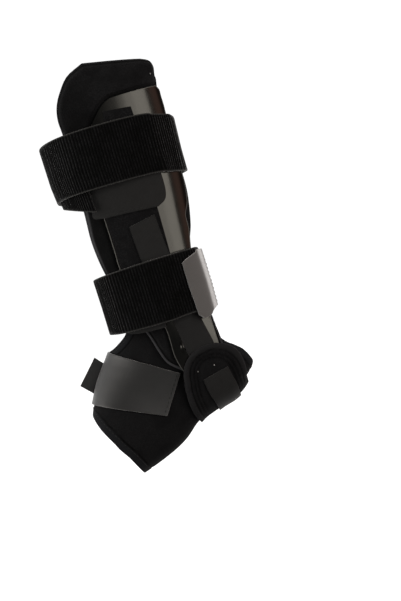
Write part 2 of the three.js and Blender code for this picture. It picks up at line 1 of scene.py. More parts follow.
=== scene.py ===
import json
import math
from functools import partial
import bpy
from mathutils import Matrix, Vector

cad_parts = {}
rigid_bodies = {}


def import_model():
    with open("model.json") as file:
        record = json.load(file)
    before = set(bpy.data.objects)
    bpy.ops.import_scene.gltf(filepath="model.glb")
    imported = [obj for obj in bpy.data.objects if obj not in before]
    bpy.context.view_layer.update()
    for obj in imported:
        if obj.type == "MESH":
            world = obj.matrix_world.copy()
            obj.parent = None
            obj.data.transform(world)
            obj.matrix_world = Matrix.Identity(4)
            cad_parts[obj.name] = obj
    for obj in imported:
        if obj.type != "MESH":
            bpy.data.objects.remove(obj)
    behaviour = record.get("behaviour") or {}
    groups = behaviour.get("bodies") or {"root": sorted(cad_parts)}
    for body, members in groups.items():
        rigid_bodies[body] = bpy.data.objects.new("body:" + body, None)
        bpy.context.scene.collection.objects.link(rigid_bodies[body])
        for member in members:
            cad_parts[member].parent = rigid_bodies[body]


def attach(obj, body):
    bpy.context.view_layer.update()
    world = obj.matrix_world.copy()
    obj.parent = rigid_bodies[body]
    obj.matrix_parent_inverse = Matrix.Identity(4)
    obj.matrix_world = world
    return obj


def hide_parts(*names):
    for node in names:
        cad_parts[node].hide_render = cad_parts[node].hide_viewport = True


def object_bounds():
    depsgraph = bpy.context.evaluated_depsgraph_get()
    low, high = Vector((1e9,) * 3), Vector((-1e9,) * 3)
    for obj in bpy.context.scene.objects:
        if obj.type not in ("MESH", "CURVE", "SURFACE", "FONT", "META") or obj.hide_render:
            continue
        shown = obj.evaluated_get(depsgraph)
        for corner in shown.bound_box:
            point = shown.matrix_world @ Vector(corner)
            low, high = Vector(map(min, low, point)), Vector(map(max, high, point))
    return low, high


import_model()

from types import SimpleNamespace

import bmesh
import bpy
import numpy as np
from mathutils import Matrix, Vector
from mathutils.kdtree import KDTree

CAD_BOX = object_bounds()

bl_info = {
    "name": "Ankle Brace",
    "version": (1, 0, 0),
    "blender": (4, 5, 0),
    "location": "3D View > Sidebar > Brace",
    "description": "Dresses a strapped ankle brace: padded shells, foot sleeve, straps and their cloth",
    "category": "Object",
}

MM = 0.001
SIDES = ("medial", "lateral")


# Form of the brace, in millimetres: +Z up the leg, -X to the toes, -Y to the medial side.

def table(columns, *rows):
    """Rows of numbers as named columns."""
    return {name: np.array(column, float) for name, column in zip(columns.split(), zip(*rows))}


# Walls of the layers, from the foot outwards.
SLEEVE_WALL = 3
SHELL_WALL = 2.5
FABRIC_WALL = 1.3
STIRRUP_WALL = 3
STRAP_WALL = 2.4
LAYER_GAP = 0.6

# Heights between which a lift strip climbs from its shell on to the velvet patch.
STRIP_CLIMB = (40, 57)

# Searches on the form: the probe for a slope, how far from an edge its place on the leg is looked
# for, the half width at which an edge has left the side of the leg, the heights between which the
# sole is looked for, the halvings of both searches, and the step that finds a surface's normal.
SLOPE_PROBE = 0.2
EDGE_SEARCH = 20
EDGE_HALVINGS = 30
SIDE_HALF = 6
SOLE_SEARCH = (-110, -32)
SOLE_HALVINGS = 40
SURFACE_STEP = 0.004

# Where the horizontal sections of the leg end and the fan of foot sections begins.
ANKLE_Z = 20
FAN_X = -105
FRONT_POWER = 2.2
BACK_POWER = 2.7

LEG = table(
    "z front back half",
    (20, -47.5, 46, 37.5),
    (48, -47.4, 45, 37),
    (76, -47.8, 45.5, 38),
    (110, -49.5, 49, 41),
    (145, -56, 53, 44.5),
    (200, -57.5, 56, 48),
    (265, -58.5, 57, 50),
)

# Foot sections on planes that fan out ahead of the instep: the plane's turn in degrees, the
# distances to the instep and to the heel or sole, and half the width.
FOOT = table(
    "turn instep sole half",
    (0, 57.5, 151, 37.5),
    (6, 53, 160, 37),
    (12, 49.5, 171, 36),
    (18, 47.2, 179, 35),
    (24, 45.7, 172, 34.5),
    (30, 44.8, 156.5, 34),
    (36, 44.4, 148, 34),
    (42, 44.5, 142.5, 34.5),
    (48, 45.3, 141, 35.5),
    (54, 47, 138.5, 36.5),
    (60, 49.6, 135.8, 37.5),
    (66, 53.3, 133.8, 38),
    (70, 56.6, 133, 38),
    (76, 64, 133, 38),
)

# Distance from the leg to the inside of the shell, and the full height of the pad's margin.
STANDOFF = table(
    "z shell pad",
    (-50, 3.2, 2.6),
    (-24, 4, 3.4),
    (0, 5.4, 5.9),
    (20, 7, 7.8),
    (76, 8.2, 8.9),
    (190, 8.4, 9.2),
    (222, 8.4, 12),
    (265, 8.4, 12.6),
)

# Outlines of the medial side as they are seen from it, a row from the lowest line to the top one.
OUTLINE = "front_x front_z back_x back_z"
PAD_OUTLINE = table(
    OUTLINE,
    (8, -29, 39, -29),
    (0, -23, 42, -21),
    (-9, -14.5, 43.5, -13),
    (-13.8, -1.5, 43, -2),
    (-17.7, 13, 42, 9),
    (-28, 42, 38, 42),
    (-38.6, 75, 39, 75),
    (-42.2, 105, 47.5, 103),
    (-41, 134, 52.5, 134),
    (-39.5, 170, 52.5, 170),
    (-38.6, 204, 53, 203),
    (-38.8, 219, 53.2, 219),
    (-36, 231, 54.3, 232),
    (-29.5, 242, 55.6, 241),
    (-19.5, 252.6, 53.5, 247.5),
    (-3.5, 259.6, 47, 250.3),
)
SHELL_OUTLINE = table(
    OUTLINE,
    (21, -43, 31, -43),
    (15, -39, 35, -39),
    (9, -33, 37.5, -33),
    (2.5, -25, 39, -25),
    (-1, -10, 40, -10),
    (-1.2, 14, 40, 14),
    (-8, 36, 38.8, 36),
    (-18.5, 57, 38.8, 57),
    (-24.6, 77, 41, 78),
    (-24.8, 95, 44.5, 96),
    (-24.8, 108, 45.4, 108),
    (-24.9, 120, 50.4, 120),
    (-25, 138, 53, 138),
    (-24, 165, 52.8, 165),
    (-20, 186, 53.8, 186),
    (-13, 202, 55, 203),
    (-4, 213, 55.1, 213.5),
    (3, 219.2, 55.2, 219.5),
    (11, 223, 53.2, 223.8),
)
LOOP_PATCH_OUTLINE = table(
    OUTLINE,
    (-15.5, 59, 20.5, 59),
    (-22.6, 78, 22, 78),
    (-22.8, 106, 22.8, 106),
    (-22.9, 134, 23.4, 134),
)
HOOK_PATCH_OUTLINE = table(
    OUTLINE,
    (0.5, 184, 27, 184),
    (0.5, 200, 27, 199),
    (1.5, 213.5, 26.7, 211),
)
LIFT_STRIP_OUTLINE = table(
    OUTLINE,
    (13.2, -22, 36, -20),
    (11, -11, 36, -9),
    (7.7, 15, 31.5, 15),
    (2, 42, 26.6, 43),
    (-3.6, 76, 21.4, 78),
    (-5.6, 111.2, 18.8, 115.6),
)
UPPER_ANCHOR_OUTLINE = table(
    OUTLINE,
    (-23.5, 125, 24.5, 121.4),
    (-33.5, 129, 32.4, 127),
    (-30, 143, 34.9, 141),
    (-27, 172, 34, 171),
)

# The straps' courses: turns round the leg from the front by way of the medial side, the layer
# that the strap lies in there and the heights of its two edges.
COURSE = "turn layer low high"
UPPER_STRAP_COURSE = table(
    COURSE,
    (-0.2, 1, 148, 200),
    (0, 1, 151, 202),
    (0.2, 1, 150, 203),
    (0.31, 0, 148.5, 201.5),
    (0.42, 0, 144.8, 195.5),
    (0.58, 0, 148.8, 197),
    (0.75, 0, 147, 198),
    (1.01, 0, 145, 198),
    (1.18, 0, 131, 182),
)
UPPER_TAB_COURSE = table(
    COURSE,
    (-0.33, 1, 153, 192),
    (-0.3, 1, 146, 199),
    (-0.1985, 1, 146, 199),
)
LOWER_STRAP_COURSE = table(
    COURSE,
    (0.503, 1, 22.2, 75.3),
    (0.54, 1, 22.5, 75.5),
    (0.64, 0, 23.5, 76),
    (0.8, 0, 24, 76),
    (0.98, 0, 24.4, 75.4),
    (1.06, 0.3, 23.6, 75.6),
    (1.13, 0.72, 22.2, 76),
    (1.262, 0.72, 20.5, 77),
    (1.3, 0, 21.5, 77),
    (1.49, 0, 23, 77),
)
LOWER_TAB_COURSE = table(
    COURSE,
    (0.319, 1, 18.5, 66.5),
    (0.332, 1, 14, 69),
    (0.38, 1, 18.5, 73.5),
    (0.5045, 1, 22.2, 75.3),
)
LOWER_ANCHOR_COURSE = table(
    COURSE,
    (0.146, 0, 20.5, 60),
    (0.2, 0, 17.5, 60),
    (0.25, 0, 16.3, 60),
)
# Between these the straps lie on the patches as well as on the shells.
STACK_FRONT_X = -32
STACK_BACK_X = 34
# A strap's loop: the share of the front's reach that it crosses before it meets the shells, how
# closely it is followed there, the radius of its bends, the angles in radians that stiffness
# spreads them over at the front and the back, where one stiffness passes into the other, how far
# the loop stands off at the front, and what share of its turns goes by angle and not by length.
BARE_SHARE = 0.72
BARE_SAMPLES = 9
SHELL_SAMPLES = 41
CORNER_RADIUS = 0.8
FRONT_STIFFNESS = 0.28
BACK_STIFFNESS = 0.08
FRONT_BLEND = (-0.2, 0.7)
FRONT_STAND = 1.5
BEND_SHARE = 0.4
LOOP_STEPS = 1440

# Stirrup: the middle and half width of its round-topped pockets, the height of their sides and
# the rise of their tops. The arch stops short of its ends, where it would be upright.
POCKET_X = 26.9
POCKET_HALF = 26.2
POCKET_SIDE_Z = -36
POCKET_ARCH = 27.6
POCKET_ENDS = (0.02, 0.98)
# How far a pocket's front edge bellies out to the toes, and how far it is drawn back at the sole.
POCKET_BELLY = 3.4
POCKET_DRAW = 2.6
# How far the sling stands off the sleeve, and between which distances from the shell's foot the
# pocket comes down to that.
POCKET_SEAT = 1.7 * LAYER_GAP
POCKET_SPREAD = (5, 32)

# Edges of the heel strap at its ends and under the sole, and of the instep strap at its ends and
# on the crest.
HEEL_STRAP = table("edge top_x sole_x top_z", (0, 16.6, 19.8, -35.7), (1, 38.8, 43, -30.4))
INSTEP_STRAP = table("edge end_x end_z crest_turn", (0, -23, -59.5, 68.5), (1, -0.5, -26.5, 13))

# Edges of the sleeve from the heel or sole, 0, to the instep, 180: its top edge in degrees of the
# foot fan, or millimetres above the ankle where it is negative, and its toe edge in degrees.
SLEEVE_TOP = table(
    "round turn",
    (0, 18.6),
    (17, 16.9),
    (26, 15),
    (39, 13.4),
    (51, 11.2),
    (59, 5),
    (70, -14),
    (85, -27),
    (110, -22),
    (125, -12),
    (143, 0.8),
    (162, 9.5),
    (180, 12.6),
)
SLEEVE_TOE = table("round turn", (0, 69.3), (66, 69.4), (90, 71.2), (126, 73.7), (180, 74.6))

# Label: its size, how far its root is tucked in, where on the crest it stands and how it leans.
LABEL_LENGTH = 29
LABEL_REACH = 9.2
LABEL_WALL = 0.8
LABEL_TUCK = 1.4
LABEL_CREST_TURN = 43.5
LABEL_LEAN = 43.5


def mix(start, end, share):
    return start + (end - start) * share


def ease(value, start, end):
    """0 before start, 1 after end and smooth between them."""
    t = np.clip((value - start) / (end - start), 0, 1)
    return t * t * (3 - 2 * t)


def band(value, rise, fall):
    """1 between two limits and eased to 0 on both sides."""
    return ease(value, *rise) * ease(value, *fall)


def read(rows, key, value):
    """Reads a table at values of its key column, along smooth curves through its rows."""
    keys = rows[key]
    last = len(keys) - 1
    at = np.clip(value, keys[0], keys[-1])
    row = np.clip(np.searchsorted(keys, at) - 1, 0, last - 1)
    before = np.maximum(row - 1, 0)
    after = np.minimum(row + 2, last)
    span = keys[row + 1] - keys[row]
    t = (at - keys[row]) / span
    leave = t * (1 - t) ** 2 * span / (keys[row + 1] - keys[before])
    arrive = t**2 * (t - 1) * span / (keys[after] - keys[row])
    blend = t * t * (3 - 2 * t)
    found = {}
    for name, column in rows.items():
        found[name] = (
            mix(column[row], column[row + 1], blend)
            + leave * (column[row + 1] - column[before])
            + arrive * (column[after] - column[row])
        )
    return SimpleNamespace(**found)


def section_at(x, z):
    """Where a point of the middle plane lies on its section of the leg or foot."""
    leg = read(LEG, "z", z)
    ahead = x - FAN_X
    below = ANKLE_Z - z
    foot = read(FOOT, "turn", np.degrees(np.arctan2(below, ahead)))
    on_leg = z >= ANKLE_Z
    along = np.where(on_leg, x, np.hypot(ahead, below))
    near = np.where(on_leg, leg.front, foot.instep)
    far = np.where(on_leg, leg.back, foot.sole)
    return along, near, far, np.where(on_leg, leg.half, foot.half)


def half_width(x, z):
    """Half the width of the leg or foot at a point of the middle plane."""
    along, near, far, half = section_at(x, z)
    share = (along - near) / ((far - near) / 2) - 1
    power = np.where(share < 0, FRONT_POWER, BACK_POWER)
    return half * np.maximum(1 - np.abs(share) ** power, 0) ** (1 / power)


def body_point(x, z, side=-1):
    return np.stack(np.broadcast_arrays(x, side * half_width(x, z), z), -1)


# Distances from the leg to the faces of the layers on its side.

def standoff(z):
    return read(STANDOFF, "z", z).shell


def shell_outer(z):
    return standoff(z) + SHELL_WALL


def patch_outer(z):
    return shell_outer(z) + LAYER_GAP + FABRIC_WALL


def strip_under(z):
    return mix(shell_outer(z), patch_outer(z), ease(z, *STRIP_CLIMB))


def stack_outer(z):
    return patch_outer(z) + LAYER_GAP + FABRIC_WALL


def width_slope(x, z, step_x, step_z):
    """How fast the half width changes along a step of the middle plane."""
    change = half_width(x + step_x, z + step_z) - half_width(x - step_x, z - step_z)
    return change / (2 * (step_x + step_z))


def foot_of_edge(x, z, offset):
    """The place on the leg under an edge that is seen at x when it stands off the leg."""
    low = x - EDGE_SEARCH
    high = x + EDGE_SEARCH
    for _ in range(EDGE_HALVINGS):
        base = (low + high) / 2
        slope_x = width_slope(base, z, SLOPE_PROBE, 0)
        slope_z = width_slope(base, z, 0, SLOPE_PROBE)
        seen = base - slope_x / np.sqrt(1 + slope_x**2 + slope_z**2) * offset
        beyond = np.where(half_width(base, z) < SIDE_HALF, x > 0, seen > x)
        high = np.where(beyond, base, high)
        low = np.where(beyond, low, base)
    return (low + high) / 2


def panel(outline, edge_offset):
    """A surface of the medial side inside an outline whose edges stand off the leg."""
    rows = {
        "share": np.linspace(0, 1, len(outline["front_x"])),
        "front": foot_of_edge(outline["front_x"], outline["front_z"], edge_offset(outline["front_z"])),
        "back": foot_of_edge(outline["back_x"], outline["back_z"], edge_offset(outline["back_z"])),
        "front_z": outline["front_z"],
        "back_z": outline["back_z"],
    }

    def surface(u, v):
        row = read(rows, "share", v)
        return body_point(mix(row.front, row.back, u), mix(row.front_z, row.back_z, u))

    return surface


def spread_bends(reach, stiffness):
    """The reach of a loop in each direction, with its bends spread over an angle in radians."""
    near = np.arange(-LOOP_STEPS // 8, LOOP_STEPS // 8 + 1)
    weights = np.exp(-((near * 2 * np.pi / LOOP_STEPS / stiffness) ** 2) / 2)
    spread = sum(weight * np.roll(reach, shift) for weight, shift in zip(weights, near)) / weights.sum()
    return spread * np.exp(stiffness**2 / 2)


def taut_loop(z):
    """The loop of a strap at one height, as x and y at even steps of its turn from the front.

    The webbing is stiff, so its bends spread: the reach of the loop in every direction is the
    mean of the reaches near that direction, raised so that the loop still clears what it holds.
    """
    front = read(LEG, "z", z).front
    back = foot_of_edge(read(SHELL_OUTLINE, "back_z", z).back_x, z, shell_outer(z))
    bare = np.linspace(front, front * BARE_SHARE, BARE_SAMPLES)
    shell = np.linspace(front * BARE_SHARE, back, SHELL_SAMPLES)
    slope = width_slope(shell, z, SLOPE_PROBE, 0)
    covered = (shell > STACK_FRONT_X) & (shell < STACK_BACK_X)
    lift = np.where(covered, stack_outer(z), shell_outer(z)) / np.hypot(1, slope)
    x = np.concatenate([bare, shell - slope * lift])
    y = np.concatenate([half_width(bare, z), half_width(shell, z) + lift])
    touched = np.concatenate([np.stack([x, y], -1), np.stack([x, -y], -1)])
    angle = np.pi + np.arange(LOOP_STEPS) / LOOP_STEPS * 2 * np.pi
    facing = np.stack([np.cos(angle), np.sin(angle)], -1)
    reach = (facing @ touched.T).max(axis=1)
    ahead = -np.cos(angle)
    taut = reach[0]
    to_front = ease(ahead, *FRONT_BLEND)
    reach = mix(spread_bends(reach, BACK_STIFFNESS), spread_bends(reach, FRONT_STIFFNESS), to_front)
    reach += CORNER_RADIUS - (reach[0] + CORNER_RADIUS - taut - FRONT_STAND) * np.maximum(ahead, 0) ** 2
    drift = (np.roll(reach, -1) - np.roll(reach, 1)) / (4 * np.pi / LOOP_STEPS)
    bends = reach[:, None] * facing + drift[:, None] * np.stack([-facing[:, 1], facing[:, 0]], -1)
    bends = np.vstack([bends, bends[:1]])
    steps = np.linalg.norm(np.diff(bends, axis=0), axis=1)
    shares = mix(steps / steps.sum(), 1 / LOOP_STEPS, BEND_SHARE)
    turns = np.concatenate([[0], np.cumsum(shares)])
    even_turns = np.linspace(0, 1, LOOP_STEPS + 1)
    return np.stack([np.interp(even_turns, turns, bends[:, axis]) for axis in (0, 1)], -1)


def strap_course(course):
    """The surface that a strap lies on along its course, and the height of its layer there."""
    heights = np.concatenate([course["low"], course["high"]])
    levels = np.linspace(heights.min(), heights.max(), 3)
    loops = np.stack([taut_loop(z) for z in levels])
    even_turns = np.linspace(0, 1, LOOP_STEPS + 1)

    def course_at(u):
        return read(course, "turn", mix(course["turn"][0], course["turn"][-1], u))

    def surface(u, v):
        row = course_at(u)
        z = mix(row.low, row.high, v)
        goal = row.turn - np.floor(row.turn)
        x, y = (np.stack([np.interp(goal, even_turns, loop[:, axis]) for loop in loops]) for axis in (0, 1))
        share = 2 * (z - levels[0]) / (levels[2] - levels[0])
        lower = np.clip(np.floor(share), 0, 1).astype(int)
        take = lambda rows, level: np.take_along_axis(rows, level[None], 0)[0]
        return np.stack([mix(take(a, lower), take(a, lower + 1), share - lower) for a in (x, y)] + [z], -1)

    def layer(at):
        return course_at(at.u).layer * (STRAP_WALL + LAYER_GAP) + LAYER_GAP

    def rim(at):
        row = course_at(at.u)
        return np.minimum(at.v, 1 - at.v) * (row.high - row.low)

    return surface, layer, rim


def sole_under(x):
    """Where the sole of the foot lies under a point of the middle plane."""
    low, high = (np.full_like(x, limit) for limit in SOLE_SEARCH)
    for _ in range(SOLE_HALVINGS):
        middle = (low + high) / 2
        along, _near, far, _half = section_at(x, middle)
        past = along > far
        low = np.where(past, middle, low)
        high = np.where(past, high, middle)
    return high


def pocket_inside(x, z):
    """How far the pocket stands off the sleeve to hold the shell's foot and the lift strip's end."""
    tip = SHELL_OUTLINE["front_z"][0]
    limits = read(SHELL_OUTLINE, "back_z", np.maximum(z, tip))
    aside = np.maximum(np.maximum(limits.front_x - x, x - limits.back_x), 0)
    cover = 1 - ease(np.hypot(aside, np.maximum(tip - z, 0)), *POCKET_SPREAD)
    return mix(POCKET_SEAT, strip_under(z) + FABRIC_WALL + 2 * LAYER_GAP, cover)


def sling_point(top_x, sole_x, top_z, v, belly=0):
    """A band that hangs from the lateral side, under the sole and up the medial side.

    Between its tops and the sole it bellies out towards the toes.
    """
    hang = 1 - 2 * v
    depth = np.abs(hang) ** BACK_POWER
    x = mix(sole_x, top_x, depth) - 4 * belly * depth * (1 - depth)
    return body_point(x, mix(sole_under(x), top_z, depth), np.where(hang > 0, 1, -1))


def stirrup_surface(u, v):
    across = -np.cos(np.pi * mix(*POCKET_ENDS, u))
    x = POCKET_X + POCKET_HALF * across
    front = ease(across, 0, -1)
    top_z = POCKET_SIDE_Z + POCKET_ARCH * np.sqrt(1 - across**2)
    return sling_point(x, x + POCKET_DRAW * front, top_z, v, POCKET_BELLY * front)


def heel_strap_surface(u, v):
    row = read(HEEL_STRAP, "edge", u)
    return sling_point(row.top_x, row.sole_x, row.top_z, v)


def crest_point(turn):
    """The crest of the instep on one section of the foot."""
    reach = read(FOOT, "turn", turn).instep
    return FAN_X + reach * np.cos(np.radians(turn)), ANKLE_Z - reach * np.sin(np.radians(turn))


def instep_strap_surface(u, v):
    row = read(INSTEP_STRAP, "edge", v)
    crest_x, crest_z = crest_point(row.crest_turn)
    side = 2 * u - 1
    down = np.abs(side) ** FRONT_POWER
    x = mix(crest_x, row.end_x, down)
    return body_point(x, mix(crest_z, row.end_z, down), np.where(side < 0, 1, -1))


def sleeve_surface(u, v):
    """Round the foot from the heel by way of the medial side, and from the top edge to the toes."""
    turn_round = 360 * u
    from_heel = np.minimum(turn_round, 360 - turn_round)
    station = mix(read(SLEEVE_TOP, "round", from_heel).turn, read(SLEEVE_TOE, "round", from_heel).turn, v)
    turn = np.maximum(station, 0)
    z = ANKLE_Z + np.maximum(-station, 0)
    leg = read(LEG, "z", z)
    foot = read(FOOT, "turn", turn)
    above = station < 0
    near = np.where(above, leg.front - FAN_X, foot.instep)
    far = np.where(above, leg.back - FAN_X, foot.sole)
    half = np.where(above, leg.half, foot.half)
    c = np.cos(np.radians(turn_round))
    s = -np.sin(np.radians(turn_round))
    power = 2 / np.where(c < 0, FRONT_POWER, BACK_POWER)
    along = (near + far) / 2 + (far - near) / 2 * np.sign(c) * np.abs(c) ** power
    side = half * np.sign(s) * np.abs(s) ** power
    x = FAN_X + along * np.cos(np.radians(turn))
    return np.stack([x, side, z - along * np.sin(np.radians(turn))], -1)


def label_surface(u, v):
    """Flat along the foot, u, and from the crest of the instep outwards, v."""
    crest_x, crest_z = crest_point(LABEL_CREST_TURN)
    lean = math.radians(LABEL_LEAN)
    along = LABEL_LENGTH * (u - 0.5)
    base_x = crest_x + along * math.sin(lean)
    base_z = crest_z + along * math.cos(lean)
    reach = 4 * LAYER_GAP + FABRIC_WALL + LABEL_REACH
    turn = np.degrees(np.arctan2(ANKLE_Z - base_z, base_x - FAN_X))
    sewn_x, sewn_z = crest_point(turn)
    sewn_x = sewn_x - LABEL_TUCK * np.cos(np.radians(turn))
    sewn_z = sewn_z + LABEL_TUCK * np.sin(np.radians(turn))
    x = mix(sewn_x, base_x - reach * math.cos(lean), v)
    z = mix(sewn_z, base_z + reach * math.sin(lean), v)
    return np.stack(np.broadcast_arrays(x, 0.0, z), -1)


def normal_of(surface, u, v):
    """Outward directions of a surface."""
    before_u, after_u = np.maximum(u - SURFACE_STEP, 0), np.minimum(u + SURFACE_STEP, 1)
    before_v, after_v = np.maximum(v - SURFACE_STEP, 0), np.minimum(v + SURFACE_STEP, 1)
    across = surface(after_u, v) - surface(before_u, v)
    along = surface(u, after_v) - surface(u, before_v)
    normal = np.cross(across, along)
    return normal / np.maximum(np.linalg.norm(normal, axis=-1, keepdims=True), 1e-9)


def line(value, middle, width):
    """1 on a line and 0 away from it."""
    return np.exp(-(((value - middle) / width) ** 2))


def dome(at, place, radii):
    """A low oval dome seen from the side: 1 in its middle and 0 at its rim."""
    share = ((at.x - place[0]) / radii[0]) ** 2 + ((at.z - place[1]) / radii[1]) ** 2
    return np.maximum(1 - share, 0)


# Directions of the waves that a swell is the sum of.
SWELL_WAVES = np.array([(0.9, 0.3, 0.4), (-0.35, 0.5, 1.05), (0.6, -0.8, 0.55), (-0.75, -0.4, 0.7)])


def swell(at, height, size):
    """A slow uneven swell of a height to both sides, the mean of a few waves of unrelated directions."""
    place = np.stack([at.x, at.y, at.z], -1)
    waves = np.sin(2 * np.pi / size * place @ SWELL_WAVES.T + np.arange(len(SWELL_WAVES)))
    return height * waves.mean(-1)


# Making of meshes.

# Places that an edge and a run are measured at, the distance at which doubles merge, the angle
# from which an edge is rounded, in how many steps, and the angle from which one stays sharp.
EDGE_SAMPLES = 1200
RUN_SAMPLES = 400
MERGE = 0.01
ROUNDED_ANGLE = math.radians(55)
ROUNDED_STEPS = 3
SHARP_ANGLE = math.radians(42)
# Columns and rows of the pieces' grids, and the width that their edges are rounded over.
GRIDS = {
    "pad": (90, 230, 0.8),
    "shell": (84, 240, 1.2),
    "velvet_patch": (40, 60, 0.35),
    "top_patch": (24, 24, 0.35),
    "pull_strip": (24, 110, 0.35),
    "strap_base": (50, 40, 0.35),
    "sleeve": (220, 110, 1.1),
    "stirrup": (90, 200, 0.9),
    "heel_tape": (24, 150, 0.35),
    "instep_tape": (150, 36, 0.35),
    "label": (30, 14, 0.25),
    "upper_strap": (1000, 24, 0.5),
    "lower_strap": (720, 24, 0.5),
    "strap_end": (60, 30, 0.35),
}


def apply_modifier(piece, kind, **settings):
    modifier = piece.modifiers.new(kind.title(), kind)
    for name, value in settings.items():
        setattr(modifier, name, value)
    bpy.context.view_layer.objects.active = piece
    bpy.ops.object.modifier_apply(modifier=modifier.name)


def get_vertices(mesh):
    flat = np.empty(3 * len(mesh.vertices))
    mesh.vertices.foreach_get("co", flat)
    return flat.reshape(-1, 3)


def set_vertices(mesh, places):
    mesh.vertices.foreach_set("co", np.ravel(places * MM))
    mesh.update()


def store(mesh, name, values):
    """Keeps a number or a vector for each vertex, for the materials to read."""
    vector = values.ndim == 2
    attribute = mesh.attributes.new(name, "FLOAT_VECTOR" if vector else "FLOAT", "POINT")
    attribute.data.foreach_set("vector" if vector else "value", np.ravel(values).astype(np.float32))


def rim_distance(surface, places, ring):
    """Millimetres from each place to the nearest edge of a surface."""
    t = np.linspace(0, 1, EDGE_SAMPLES)
    edges = [surface(t, 0 * t), surface(t, 0 * t + 1)]
    if not ring:
        edges += [surface(0 * t, t), surface(0 * t + 1, t)]
    points = np.concatenate(edges)
    tree = KDTree(len(points))
    for index, point in enumerate(points):
        tree.insert(point, index)
    tree.balance()
    return np.array([tree.find(place)[2] for place in places])


def run_length(places):
    return np.concatenate([[0], np.cumsum(np.linalg.norm(np.diff(places, axis=0), axis=1))])


def middle_length(places, across, along):
    """Length in metres of the middle one of the runs of places that share a value across."""
    aside = np.abs(across - 0.5)
    run = aside < aside.min() + 1e-4
    return run_length(places[run][np.argsort(along[run])])[-1] * MM


def wall(name, surface, grid, inside, outside, ring=False, rim=None):
    """A closed wall between two offsets of a surface, made of a grid that gets a second side.

    Its "cut" is the width and length that it lies flat with, along the middle of its inner face.
    """
    columns, rows, rounding = GRIDS[grid]
    bpy.ops.object.select_all(action="DESELECT")
    bpy.ops.mesh.primitive_grid_add(x_subdivisions=columns, y_subdivisions=rows, size=1, calc_uvs=False)
    piece = bpy.context.object
    piece.name = piece.data.name = name
    mesh = piece.data
    flat = get_vertices(mesh) + 0.5
    store(mesh, "lay", flat)
    if ring:
        set_vertices(mesh, surface(flat[:, 0], flat[:, 1]))
        bpy.ops.object.mode_set(mode="EDIT")
        bpy.ops.mesh.select_all(action="SELECT")
        bpy.ops.mesh.remove_doubles(threshold=MERGE * MM)
        bpy.ops.object.mode_set(mode="OBJECT")
        kept = np.empty(3 * len(mesh.vertices), np.float32)
        mesh.attributes["lay"].data.foreach_get("vector", kept)
        flat = kept.reshape(-1, 3).astype(float)
    apply_modifier(piece, "SOLIDIFY", thickness=MM, offset=-1)
    u, v = flat[:, 0], flat[:, 1]
    base = surface(u, v)
    t = np.linspace(0, 1, RUN_SAMPLES)
    at = SimpleNamespace(
        u=u,
        v=v,
        x=base[:, 0],
        y=base[:, 1],
        z=base[:, 2],
        along=np.interp(u, t, run_length(surface(t, 0 * t + 0.5))),
        across=np.interp(v, t, run_length(surface(0 * t + 0.5, t))),
        # No painted shade until a piece sets it.
        crease=0 * u,
    )
    at.rim = rim(at) if rim else rim_distance(surface, base, ring)
    facing = normal_of(surface, u, v)
    outer = base + facing * outside(at)[:, None]
    inner = base + facing * inside(at)[:, None]
    set_vertices(mesh, np.concatenate([outer, inner]))
    piece["cut"] = middle_length(inner, u, v), middle_length(inner, v, u)
    mesh.attributes.remove(mesh.attributes["lay"])
    store(mesh, "weave", np.tile(np.stack([at.along, at.across, 0 * u], -1) * MM, (2, 1)))
    store(mesh, "rim", np.tile(at.rim * MM, 2))
    # The painted shade that a piece marks for its grooves and shaded places, for the materials to read.
    store(mesh, "crease", np.tile(at.crease, 2))
    rounded = {"limit_method": "ANGLE", "angle_limit": ROUNDED_ANGLE, "segments": ROUNDED_STEPS}
    apply_modifier(piece, "BEVEL", width=rounding * MM, **rounded)
    return piece


def mirrored(piece, name):
    """A copy of a piece on the other side of the leg, with its faces turned out again."""
    bpy.ops.object.select_all(action="DESELECT")
    piece.select_set(True)
    bpy.context.view_layer.objects.active = piece
    bpy.ops.object.duplicate()
    copy = bpy.context.object
    copy.name = copy.data.name = name
    set_vertices(copy.data, get_vertices(copy.data) / MM * (1, -1, 1))
    bpy.ops.object.mode_set(mode="EDIT")
    bpy.ops.mesh.select_all(action="SELECT")
    bpy.ops.mesh.flip_normals()
    bpy.ops.object.mode_set(mode="OBJECT")
    return copy


def dress(piece, material, slot, *nodes):
    """Gives a piece its finish and its place in the frame."""
    piece.data.materials.clear()
    piece.data.materials.append(material)
    bpy.ops.object.select_all(action="DESELECT")
    piece.select_set(True)
    bpy.context.view_layer.objects.active = piece
    bpy.ops.object.shade_smooth_by_angle(angle=SHARP_ANGLE)
    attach(piece, "root")
    if nodes:
        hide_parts(*nodes)
    return piece


def declare_sheet(piece, bed):
    """Reads the size that a cloth is cut to, and declares nothing; bed, the piece it lies on, is not used.
    """
    tuple(piece["cut"])


def both_sides(piece, words, material, slot, node):
    """Dresses a medial piece and its lateral copy, and gives both."""
    made = [piece, mirrored(piece, f"lateral_{words}")]
    return [dress(one, material, slot, f"{side}_{node}") for one, side in zip(made, SIDES)]


# Sewing: the width of the thread, how far the seams lie in from an edge, how far out a path
# starts so that it meets the outer face of its piece, where a seam starts and ends along its edge,
# and a stitch's start, end, pitch and look ahead in lengths of it.
THREAD = 0.7
HEM_SEAM = 1.2
TAPE_SEAM = 2.6
SECOND_SEAM = 2.5 * TAPE_SEAM
CLEAR_OF_LAYERS = 22
SEAM_ENDS = (0.04, 0.96)
SEAM_SAMPLES = 300
SEAM_STEP = 0.02
STITCH_START = 0.8
STITCH_END = 0.5
STITCH_PITCH = 1.5
STITCH_AHEAD = 0.25


